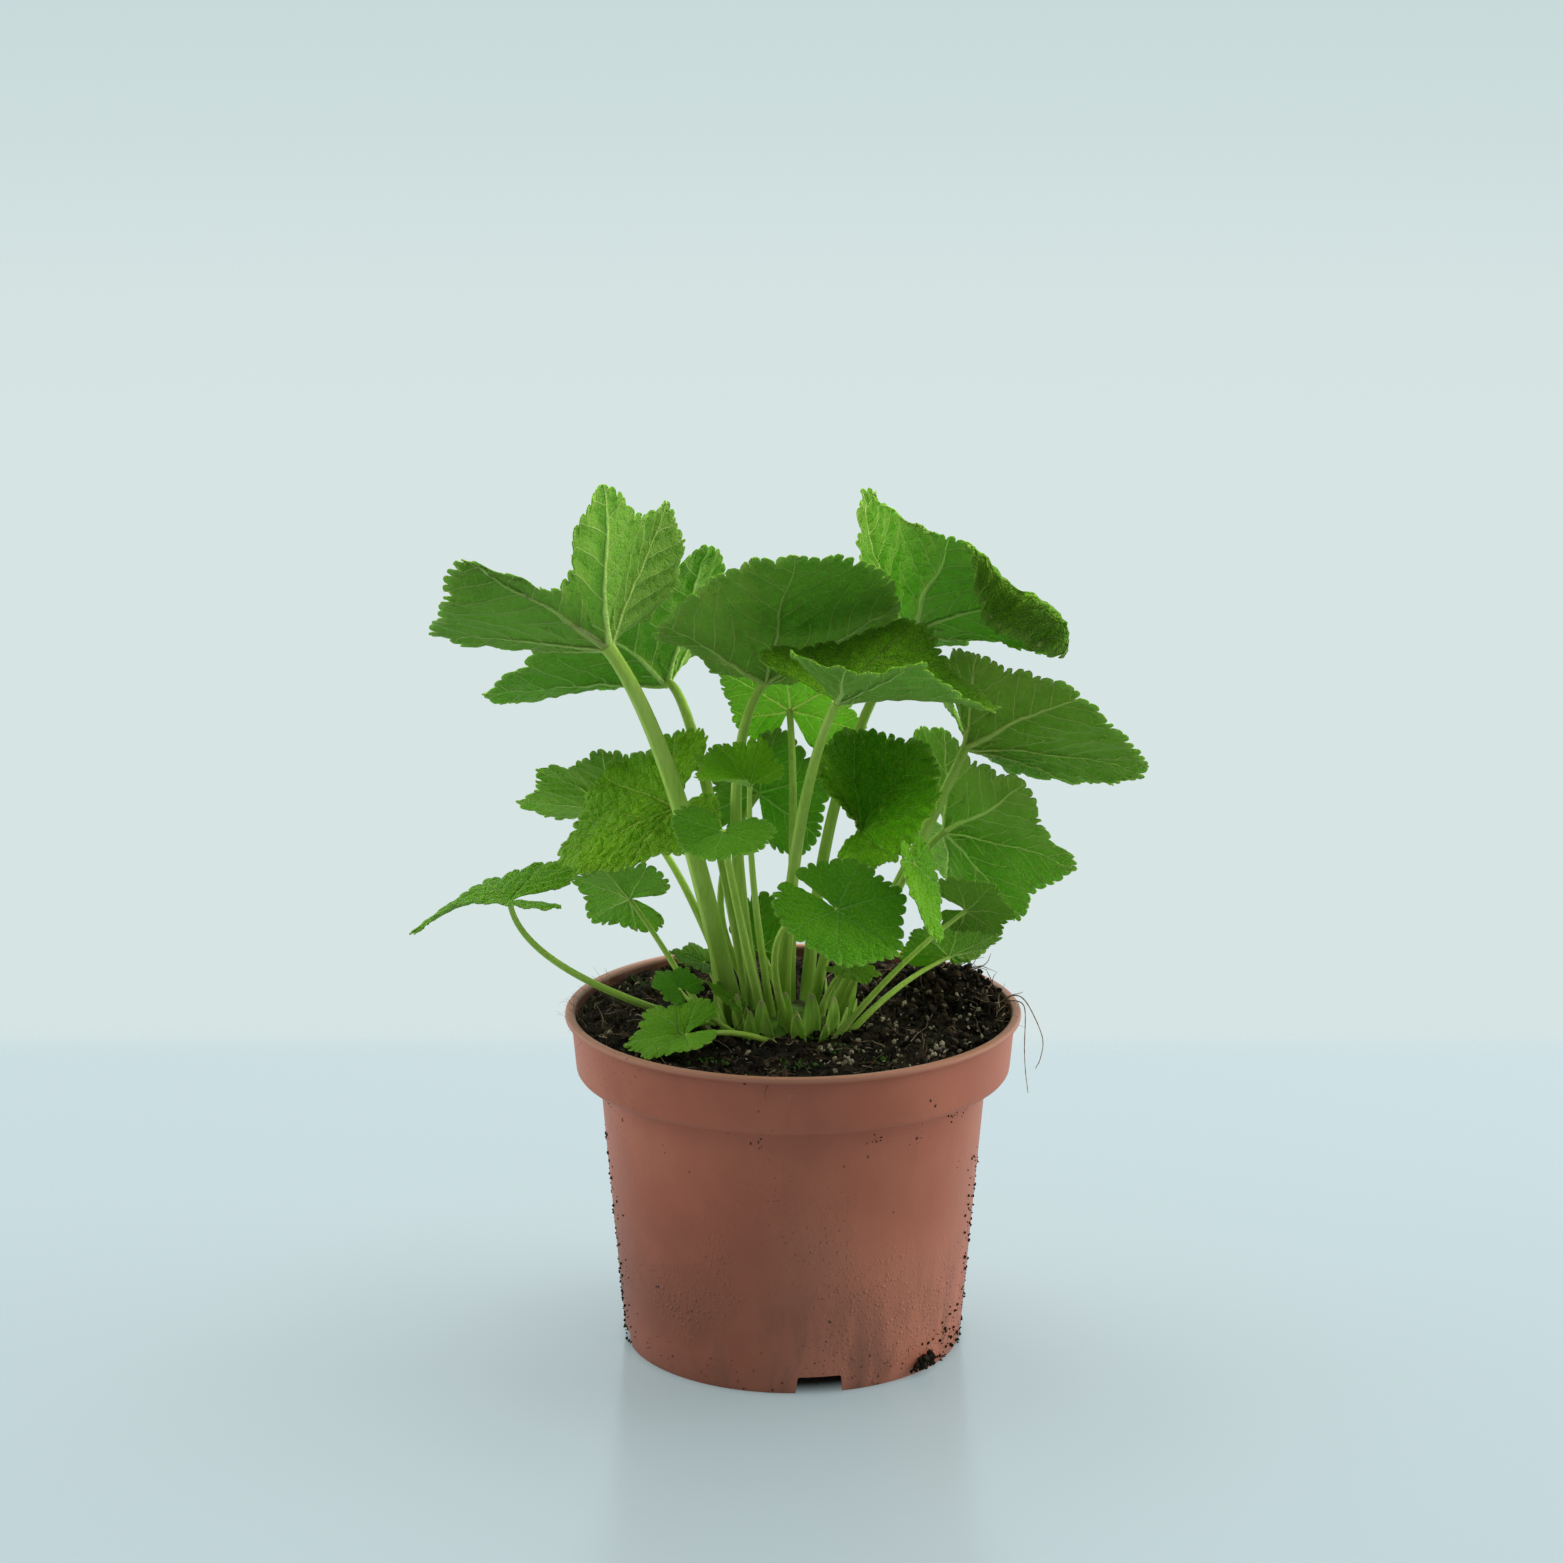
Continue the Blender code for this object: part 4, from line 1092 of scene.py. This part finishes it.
def make_bud_scales(name, spots, finish):
    """Several scales of one side of the crown, joined into one piece."""
    grown = []
    for x, y, heading, lean, length in spots:
        scale = bud_scale(length * 0.42, length, 1.6)
        scale.rotation_euler = (-radians(90 - lean), 0, radians(heading + 270))
        scale.location = Vector((x, y, ground(x, y) - 1.0)) * MM
        settle(scale)
        grown.append(scale)
    pick(*grown)
    bpy.ops.object.join()
    cluster = made(name + "s")
    smooth(cluster, 60)
    return finish_piece(cluster, "bud_scale", name, materials=[finish])


# ---------------------------------------------------------------- soil


def make_soil(finish):
    """The peat's rough top and the plug of compost under it."""
    steps = 210
    bpy.ops.mesh.primitive_grid_add(x_subdivisions=steps, y_subdivisions=steps, size=2)
    soil = made("peat")
    places = vertices_of(soil)
    u, v = places[:, 0], places[:, 1]
    edge = COLLAR_TOP_RADIUS - WALL - 0.5
    x = u * np.sqrt(1 - v * v / 2) * edge
    y = v * np.sqrt(1 - u * u / 2) * edge
    ground_at = np.stack((x, y, np.zeros_like(x)), 1)
    level = np.array([soil_top(a, b) for a, b in zip(x, y)])
    rough = 1.5 * lumps(ground_at, 0.085, 3, 1.0) + 1.1 * np.abs(lumps(ground_at, 0.24, 3, 2.0))
    rough += 0.75 * lumps(ground_at, 0.62, 3, 3.0)
    reach = np.hypot(x, y) / edge
    rise = level + rough * np.where(reach > 0.97, 0.6, 1.0)
    set_vertices(soil, np.stack((x, y, rise), 1) * MM)
    edit(soil)
    bpy.ops.mesh.region_to_loop()
    for radius, height in PLUG:
        bpy.ops.mesh.extrude_edges_move()
        end_edit()
        ring = np.array([vertex.select for vertex in soil.data.vertices])
        places = vertices_of(soil)
        turn = np.arctan2(places[ring, 1], places[ring, 0])
        places[ring] = np.stack(
            (radius * np.cos(turn), radius * np.sin(turn), np.full(turn.shape, height)), 1
        ) * MM
        set_vertices(soil, places)
        bpy.ops.object.mode_set(mode="EDIT")
    bpy.ops.mesh.edge_face_add()
    end_edit()
    smooth(soil, 80)
    return finish_piece(soil, "peat_soil", "soil", materials=[finish])


def crumb_shapes(draw):
    """A few broken lumps to copy, each of a few dozen faces."""
    shapes = []
    for i in range(6):
        bpy.ops.mesh.primitive_ico_sphere_add(subdivisions=2, radius=1)
        lump = bpy.context.object
        places = vertices_of(lump)
        places *= (1 + 0.45 * lumps(places, 1.3, 2, 10.0 + i))[:, None]
        places *= draw.uniform(0.6, 1.15, 3)
        set_vertices(lump, places)
        apply_modifier(lump, "DECIMATE", ratio=0.35)
        faces = [tuple(face.vertices) for face in lump.data.polygons]
        shapes.append((vertices_of(lump), faces))
        bpy.data.objects.remove(lump)
    return shapes


def gather(name, rows):
    """One piece of many: each row is (points, faces, tone)."""
    bpy.ops.mesh.primitive_ico_sphere_add(subdivisions=1, radius=MM)
    piece = made(name)
    places, faces, tones = [], [], []
    base = 0
    for points, own, tone in rows:
        places.append(points)
        faces += [tuple(base + i for i in face) for face in own]
        tones.append(np.full(len(points), tone))
        base += len(points)
    mesh = bpy.data.meshes.new(name)
    mesh.from_pydata((np.concatenate(places) * MM).tolist(), [], faces)
    piece.data = mesh
    set_number(piece, "tone", np.concatenate(tones))
    return piece


def scatter(name, shapes, spots, draw, finish):
    """Copies of the shapes at (place, size, stretch, tone), turned at random, as one piece."""
    rows = []
    for place, size, stretch, tone in spots:
        points, faces = shapes[draw.integers(len(shapes))]
        turns = draw.uniform(0, 2 * pi, 3)
        (ca, sa), (cb, sb), (cc, sc) = ((cos(turn), sin(turn)) for turn in turns)
        matrix = np.array((
            (ca * cb, ca * sb * sc - sa * cc, ca * sb * cc + sa * sc),
            (sa * cb, sa * sb * sc + ca * cc, sa * sb * cc - ca * sc),
            (-sb, cb * sc, cb * cc),
        ))
        rows.append(((points * np.array(stretch) * size) @ matrix.T + np.array(place), faces, tone))
    piece = gather(name, rows)
    smooth(piece, 50)
    return finish_piece(piece, "peat_soil", materials=[finish])


def soil_spot(draw):
    """A place on the soil at random, but not right at the middle."""
    reach = 60.0 * sqrt(draw.uniform(0.02, 1))
    turn = draw.uniform(0, 2 * pi)
    return reach * cos(turn), reach * sin(turn)


def make_crumbs(finish):
    """Loose peat all over and on the mound, pale grains in front, and tufts of moss."""
    draw = np.random.default_rng(5)
    shapes = crumb_shapes(draw)
    spots = []

    def drop(x, y, lift, size, stretch, tone):
        spots.append(((x, y, soil_top(x, y) + lift), size, stretch, tone))

    for i in range(1500):
        x, y = soil_spot(draw)
        size = 0.45 + 1.5 * draw.uniform() ** 3
        tone = draw.choice((0.2, 0.5, 0.8, 1.0, 1.9), p=(0.36, 0.28, 0.14, 0.10, 0.12))
        if tone > 1.5:
            size *= 0.6
        stretch = (1, draw.uniform(0.6, 1.0), draw.uniform(0.45, 0.9))
        drop(x, y, 0.9 + 0.35 * size + draw.uniform(-0.4, 0.5), size, stretch, tone)
    for i in range(420):
        x = MOUND_AT[0] + draw.normal(0, 9)
        y = MOUND_AT[1] + draw.normal(0, 15)
        if hypot(x, y) > 61:
            continue
        size = 0.6 + 1.5 * draw.uniform() ** 2
        tone = draw.choice((0.2, 0.6, 1.0, 1.9), p=(0.45, 0.3, 0.17, 0.08))
        if tone > 1.5:
            size *= 0.6
        drop(x, y, 0.8 + draw.uniform(-0.3, 2.2), size, (1, 0.8, 0.7), tone)
    for i in range(190):
        x = draw.uniform(6, 56)
        y = draw.uniform(-44, 14)
        if hypot(x, y) > 58:
            continue
        size = draw.uniform(0.3, 0.95)
        drop(x, y, 1.5 + 0.4 * size, size, (1, 0.85, 0.75), draw.choice((1.5, 2.1)))
    for centre in ((2, -44), (24, -38), (-22, -40), (-40, -20), (14, -30)):
        for i in range(26):
            x = centre[0] + draw.normal(0, 2.6)
            y = centre[1] + draw.normal(0, 2.2)
            if hypot(x, y) < 58:
                drop(x, y, 1.3, draw.uniform(0.25, 0.7), (1, 1, 0.8), 3.0)
    return scatter("peat_crumbs", shapes, spots, draw, finish)


def strand(start, heading, climb, length, curl, radius, draw, steps=7):
    """A thin wandering fibre as vertices and faces, three-sided."""
    at = np.array(start, float)
    turn, slope = heading, climb
    line = [at.copy()]
    for i in range(steps):
        turn += draw.normal(0, curl)
        slope += draw.normal(0, curl * 0.6) - 0.06
        way = np.array((cos(turn) * cos(slope), sin(turn) * cos(slope), sin(slope)))
        at = at + length / steps * way
        line.append(at.copy())
    line = np.array(line)
    direction = np.gradient(line, axis=0)
    direction /= np.linalg.norm(direction, axis=1, keepdims=True)
    across = np.cross(direction, (0.3, 0.2, 1.0))
    across /= np.maximum(np.linalg.norm(across, axis=1, keepdims=True), 1e-6)
    above = np.cross(across, direction)
    thick = radius * (1 - 0.75 * np.linspace(0, 1, steps + 1))[:, None]
    rings = [line + thick * (across * cos(a) + above * sin(a)) for a in (0, 2 * pi / 3, 4 * pi / 3)]
    points = np.stack(rings, 1).reshape(-1, 3)
    faces = []
    for i in range(steps):
        for k in range(3):
            a, b = 3 * i + k, 3 * i + (k + 1) % 3
            faces.append((a, b, b + 3, a + 3))
    last = 3 * steps
    faces += [(2, 1, 0), (last, last + 1, last + 2)]
    return points, faces


def make_fibres(finish):
    """Dead roots: strewn over the peat, and in fringes by the wall."""
    draw = np.random.default_rng(9)
    rows = []

    def pull(span):
        return draw.uniform(*span) if isinstance(span, tuple) else span

    for i in range(260):
        x, y = soil_spot(draw)
        rows.append((*strand(
            (x, y, soil_top(x, y) + draw.uniform(0.8, 2.2)), draw.uniform(0, 2 * pi),
            draw.uniform(-0.1, 0.35), draw.uniform(3, 15), 0.5, draw.uniform(0.08, 0.22), draw,
        ), draw.uniform(0, 1)))
    for fringe in FRINGES:
        for i in range(fringe.count):
            turn = radians(pull(fringe.arc))
            x, y = fringe.reach * cos(turn), fringe.reach * sin(turn)
            height = FRINGE_HEIGHT if fringe.lift is None else soil_top(x, y) + fringe.lift
            rows.append((*strand(
                (x, y, height), turn + draw.normal(0, fringe.spread), pull(fringe.climb),
                pull(fringe.length), fringe.curl, pull(fringe.radius), draw,
            ), pull(fringe.tone)))
    piece = gather("peat_fibres", rows)
    edit(piece)
    bpy.ops.mesh.normals_make_consistent(inside=False)
    end_edit()
    smooth(piece, 60)
    return finish_piece(piece, "peat_soil", materials=[finish])


def through(points, steps):
    """Points on a smooth curve through the given ones."""
    points = np.array(points, float)
    held = np.concatenate((2 * points[:1] - points[1:2], points, 2 * points[-1:] - points[-2:-1]))
    line = []
    for s in np.linspace(0, len(points) - 1, steps):
        i = min(int(s), len(points) - 2)
        line.append(smooth_between(*held[i : i + 4], s - i))
    return line


def make_thread(name, points, seed, finish):
    """A root hair through the points, thinner towards its end."""
    draw = np.random.default_rng(seed)
    line = through(points, 40)
    radii = np.linspace(0.2, 0.1, len(line)) * draw.uniform(0.8, 1.2, len(line))
    thread = add_tube(name + "_hair", line, radii.tolist(), sides=1)
    set_number(thread, "tone", np.full(len(thread.data.vertices), 0.75))
    smooth(thread, 60)
    return finish_piece(thread, "root_thread", name, materials=[finish])


# ---------------------------------------------------------------- pot


def pot_profile():
    """The pot's section from the inner floor over the lip to the underside, as (radius, height)."""
    inner = COLLAR_TOP_RADIUS - WALL
    underside = FLOOR_TOP - FLOOR_THICKNESS
    floor_radius = FOOT_RADIUS + (BODY_MIDDLE_RADIUS - FOOT_RADIUS) * FLOOR_TOP / BODY_MIDDLE
    lip = [
        (inner, 96.9), (inner + 0.12, 97.5), (inner + 0.5, 97.9), (inner + 1.0, POT_HEIGHT),
        (LIP_RADIUS - 0.9, POT_HEIGHT), (LIP_RADIUS - 0.35, 97.85), (LIP_RADIUS - 0.05, 97.45),
        (LIP_RADIUS, 97.0), (LIP_RADIUS - 0.12, 96.55), (LIP_RADIUS - 0.5, 96.32),
        (COLLAR_TOP_RADIUS + 0.25, 96.25), (COLLAR_TOP_RADIUS, COLLAR_HEAD),
    ]
    collar = [
        (
            COLLAR_TOP_RADIUS + (COLLAR_FOOT_RADIUS - COLLAR_TOP_RADIUS) * t,
            COLLAR_HEAD - (COLLAR_HEAD - COLLAR_BEND) * t,
        )
        for t in (0.25, 0.5, 0.75, 1.0)
    ]
    under_collar = [
        (COLLAR_FOOT_RADIUS - 0.15, 81.5), (COLLAR_FOOT_RADIUS - 0.6, 80.85),
        (COLLAR_FOOT_RADIUS - 1.4, COLLAR_FOOT), (BODY_TOP_RADIUS + 0.7, COLLAR_FOOT),
        (BODY_TOP_RADIUS + 0.1, 80.2),
    ]
    body = [
        (
            BODY_MIDDLE_RADIUS + (BODY_TOP_RADIUS - BODY_MIDDLE_RADIUS) * t,
            BODY_MIDDLE + (BODY_TOP - BODY_MIDDLE) * t,
        )
        for t in (1.0, 0.8, 0.6, 0.4, 0.2, 0.0)
    ] + [
        (FOOT_RADIUS + (BODY_MIDDLE_RADIUS - FOOT_RADIUS) * t, BODY_MIDDLE * t)
        for t in (0.8, 0.6, 0.4, 0.2, 0.06)
    ]
    return [
        (floor_radius - WALL - 0.6, FLOOR_TOP),
        (floor_radius - WALL, FLOOR_TOP + 0.6),
        (BODY_MIDDLE_RADIUS - WALL, BODY_MIDDLE),
        (BODY_TOP_RADIUS - WALL, COLLAR_FOOT + WALL),
        (COLLAR_FOOT_RADIUS - WALL, COLLAR_FOOT + WALL),
        *lip,
        *collar,
        *under_collar,
        *body,
        (FOOT_RADIUS - 0.1, 0.6),
        (FOOT_RADIUS - 0.35, 0),
        (FOOT_RADIUS - WALL, 0),
        (FOOT_RADIUS - WALL + 0.3, underside),
        (CENTRE_FOOT_RADIUS + 0.6, underside),
        (CENTRE_FOOT_RADIUS, 0),
    ]


def cut_away(piece, cutter):
    """Cuts the cutter's shape out of the piece and removes the cutter."""
    apply_modifier(piece, "BOOLEAN", operation="DIFFERENCE", solver="EXACT", object=cutter)
    bpy.data.objects.remove(cutter)


def make_pot(finish):
    """The pot, drawn up from a ring and then cut for its foot notches and drain holes."""
    profile = pot_profile()
    radius, height = profile[0]
    bpy.ops.object.select_all(action="DESELECT")
    bpy.ops.mesh.primitive_circle_add(
        vertices=POT_STEPS, radius=radius * MM, location=(0, 0, height * MM), fill_type="NGON"
    )
    pot = made("nursery_pot")
    settle(pot)
    edit(pot)
    bpy.ops.mesh.region_to_loop()
    for new_radius, new_height in profile[1:]:
        bpy.ops.mesh.extrude_edges_move(
            TRANSFORM_OT_translate={"value": (0, 0, (new_height - height) * MM)}
        )
        share = new_radius / radius
        bpy.ops.transform.resize(value=(share, share, 1), center_override=(0, 0, 0))
        radius, height = new_radius, new_height
    bpy.ops.mesh.edge_face_add()
    bpy.ops.mesh.select_all(action="SELECT")
    bpy.ops.mesh.normals_make_consistent(inside=False)
    end_edit()
    for i in range(NOTCH_COUNT):
        bpy.ops.mesh.primitive_cube_add(size=1)
        block = bpy.context.object
        places = vertices_of(block) * (2 * NOTCH_HEIGHT, NOTCH_WIDTH, 2 * NOTCH_HEIGHT)
        places[places[:, 2] > 0, 1] *= NOTCH_TAPER
        set_vertices(block, (places + (FOOT_RADIUS, 0, 0)) * MM)
        apply_modifier(block, "BEVEL", width=0.6 * MM, segments=3)
        block.rotation_euler.z = radians(NOTCH_TURN + 360 / NOTCH_COUNT * i)
        cut_away(pot, block)
    for i in range(DRAIN_COUNT):
        turn = 2 * pi * (i + 0.5) / DRAIN_COUNT
        bpy.ops.mesh.primitive_cylinder_add(
            vertices=32, radius=DRAIN_RADIUS * MM, depth=4 * FLOOR_THICKNESS * MM,
            location=(
                DRAIN_CIRCLE * MM * cos(turn), DRAIN_CIRCLE * MM * sin(turn),
                (FLOOR_TOP - FLOOR_THICKNESS / 2) * MM,
            ),
        )
        cut_away(pot, bpy.context.object)
    places = vertices_of(pot)
    sway = lumps(places, 16.0, 2, 4.0)[:, None] * 0.0002
    outward = places * (1, 1, 0)
    outward /= np.maximum(np.linalg.norm(outward, axis=1, keepdims=True), 1e-6)
    set_vertices(pot, places + outward * sway)
    smooth(pot, 32)
    return finish_piece(pot, "pot_plastic", "pot", materials=[finish])


def wall_radius(height):
    """The outer wall's radius at a height below the collar, in mm."""
    if height > BODY_MIDDLE:
        flare = (BODY_TOP_RADIUS - BODY_MIDDLE_RADIUS) * (height - BODY_MIDDLE)
        return BODY_MIDDLE_RADIUS + flare / (UNDER_COLLAR - BODY_MIDDLE)
    return FOOT_RADIUS + (BODY_MIDDLE_RADIUS - FOOT_RADIUS) * height / BODY_MIDDLE


def make_pot_dirt(finish):
    """Peat stuck to the pot: a lump at the foot, crumbs down both flanks and under the collar."""
    draw = np.random.default_rng(21)
    shapes = crumb_shapes(draw)
    spots = []

    def stick(turn, height, size, tone=0.4, out=0.0):
        reach = wall_radius(height) + size * 0.25 + out
        place = (reach * cos(radians(turn)), reach * sin(radians(turn)), height)
        spots.append((place, size, (1, 0.8, 0.8), tone))

    def dust(count, heading, spread, reach, power):
        """Fine crumbs round one heading, thinning out upwards."""
        for i in range(count):
            turn = heading + draw.normal(0, spread)
            stick(turn, reach * draw.uniform() ** power, 0.08 + 0.5 * draw.uniform() ** 3)

    for i in range(85):
        turn = -41 + draw.normal(0, 2.6)
        height = 2.2 + abs(draw.normal(0, 1.6))
        stick(turn, height, draw.uniform(0.4, 1.3), 0.5, draw.uniform(0, 1.6))
    dust(260, -172, 6, 64, 1.1)
    dust(260, -10, 7, 62, 1.3)
    dust(90, -30, 6, 14, 1.5)
    for heading in (-160, -152, -36, -28, -100, -64):
        for i in range(9):
            turn = heading + draw.normal(0, 1.6)
            stick(turn, 77.5 - abs(draw.normal(0, 2.2)), draw.uniform(0.1, 0.3))
    for i in range(160):
        stick(draw.uniform(-180, 180), draw.uniform(0.4, 6) ** 1.3, draw.uniform(0.1, 0.3))
    for i in range(60):
        stick(draw.uniform(-180, 180), draw.uniform(10, 78), draw.uniform(0.08, 0.22))
    return scatter("pot_dirt", shapes, spots, draw, finish)


# ---------------------------------------------------------------- the whole


def make_table():
    """A pale table top with a soft sheen that fades out at the back. It glows, as painted light
    that lifts its shadows, but not under the pot's foot or just round it, a painted shadow.
    """
    bpy.ops.mesh.primitive_plane_add(size=1)
    table = made("table_top")
    set_vertices(table, np.array([
        (x, y, 0) for y in (-TABLE_REACH, TABLE_END) for x in (-TABLE_REACH, TABLE_REACH)
    ]))
    top = Finish("Pale lacquer with painted glow")
    back = top.node("SeparateXYZ", {0: top.place()}).outputs[1]
    top.set(
        base_color=(0.165, 0.2, 0.207), roughness=0.2, specular_ior_level=0.25,
        # Painted light: the glow lifts the table's shadows. It is nothing under the middle of the
        # pot's foot and rises across a ring from 40 to 52 mm, a painted shadow.
        emission_color=(0.79, 0.97, 1.0),
        emission_strength=top.step(top.length(top.place()), 0.040, 0.052, 0.0, 0.28),
        alpha=top.step(back, TABLE_END, TABLE_FADE),
    )
    table.data.materials.append(top.material)


def make_camera(scene):
    """A long lens in front of the pot and above it, tilted down."""
    data = bpy.data.cameras.new("camera")
    data.lens = 100.0
    data.sensor_width = 36.0
    camera = bpy.data.objects.new("camera", data)
    camera.location = (0, -1.18348, 0.46885)
    camera.rotation_euler = (radians(90 - 14.417), 0, radians(0.158))
    scene.collection.objects.link(camera)
    scene.camera = camera


def make_world(scene):
    """A sky that lights the plant from behind and above, and a plain backdrop for the camera."""
    world = bpy.data.worlds.new("studio")
    scene.world = world
    world.use_nodes = True
    world.node_tree.nodes.clear()
    studio = Nodes(world.node_tree)
    spot = studio.node("TexCoord").outputs["Generated"]
    aim = studio.node("SeparateXYZ", {0: spot})
    back = studio.step(aim.outputs[1], -0.75, 0.3, 0.2, 1.0)
    above = studio.step(aim.outputs[2], 0.2, 0.9, 0.0, 0.3)
    lit = studio.node(
        "Background", {"Color": (0.90, 0.98, 1.0), "Strength": studio.math("ADD", back, above)}
    )
    seen = studio.mix(studio.step(aim.outputs[2], -0.17, -0.05), *BACKDROP)
    plain = studio.node("Background", {"Color": seen, "Strength": 1.0})
    ray = studio.node("LightPath").outputs["Is Camera Ray"]
    both = studio.node("MixShader", {0: ray, 1: lit.outputs[0], 2: plain.outputs[0]})
    studio.node("OutputWorld", {"Surface": both.outputs[0]})


def add_lamp(scene, name, place, target, width, height, power):
    """A rectangular softbox that isn't seen in glossy surfaces."""
    light = bpy.data.lights.new(name, "AREA")
    light.shape = "RECTANGLE"
    light.size, light.size_y = width, height
    light.energy = power
    rig = bpy.data.objects.new(name, light)
    rig.location = place
    rig.visible_glossy = False
    rig.rotation_euler = (Vector(target) - Vector(place)).to_track_quat("-Z", "Y").to_euler()
    scene.collection.objects.link(rig)


def make_stage():
    """The table, the camera and the studio's light."""
    scene = bpy.context.scene
    make_table()
    make_camera(scene)
    make_world(scene)
    add_lamp(scene, "left_softbox", (-1.1, 0.15, 0.45), (0, 0, 0.12), 0.8, 0.9, 4.6)
    add_lamp(scene, "right_softbox", (1.1, 0.15, 0.45), (0, 0, 0.12), 0.8, 0.9, 8.2)
    add_lamp(scene, "top_softbox", (0.1, 0.35, 1.3), (0, 0, 0.15), 1.0, 0.8, 14)
    scene.view_settings.view_transform = "Standard"


def main():
    # The upper side's furrow colour is painted shade in its sunk net of veins.
    upper = blade_finish(
        "Leaf upper side", face=(0.175, 0.40, 0.008), shade=(0.11, 0.28, 0.005),
        vein=(0.36, 0.56, 0.10), furrow=(0.055, 0.17, 0.004), roughness=0.5, sunk=True,
    )
    under = blade_finish(
        "Leaf underside", face=(0.235, 0.41, 0.060), shade=(0.160, 0.30, 0.032),
        vein=(0.47, 0.66, 0.17), furrow=(0.30, 0.47, 0.10), roughness=0.6, sunk=False,
    )
    petiole = stalk_finish()
    section = ribbed_section()
    for seed, (name, leaf) in enumerate(LEAVES.items()):
        make_blade(name, leaf, seed + 40, [upper, under])
        make_stalk(name, leaf, section, petiole)
    bpy.data.objects.remove(section)
    make_crown(crown_finish())
    scales = scale_finish()
    for name, spots in BUD_SCALES.items():
        make_bud_scales(name, spots, scales)
    make_soil(soil_finish("Peat", False))
    loose = soil_finish("Loose peat", True)
    make_crumbs(loose)
    fibre = fibre_finish()
    make_fibres(fibre)
    for seed, (name, points) in enumerate(ROOT_THREADS.items()):
        make_thread(name, points, seed + 3, fibre)
    make_pot(pot_finish())
    make_pot_dirt(loose)
    make_stage()


main()
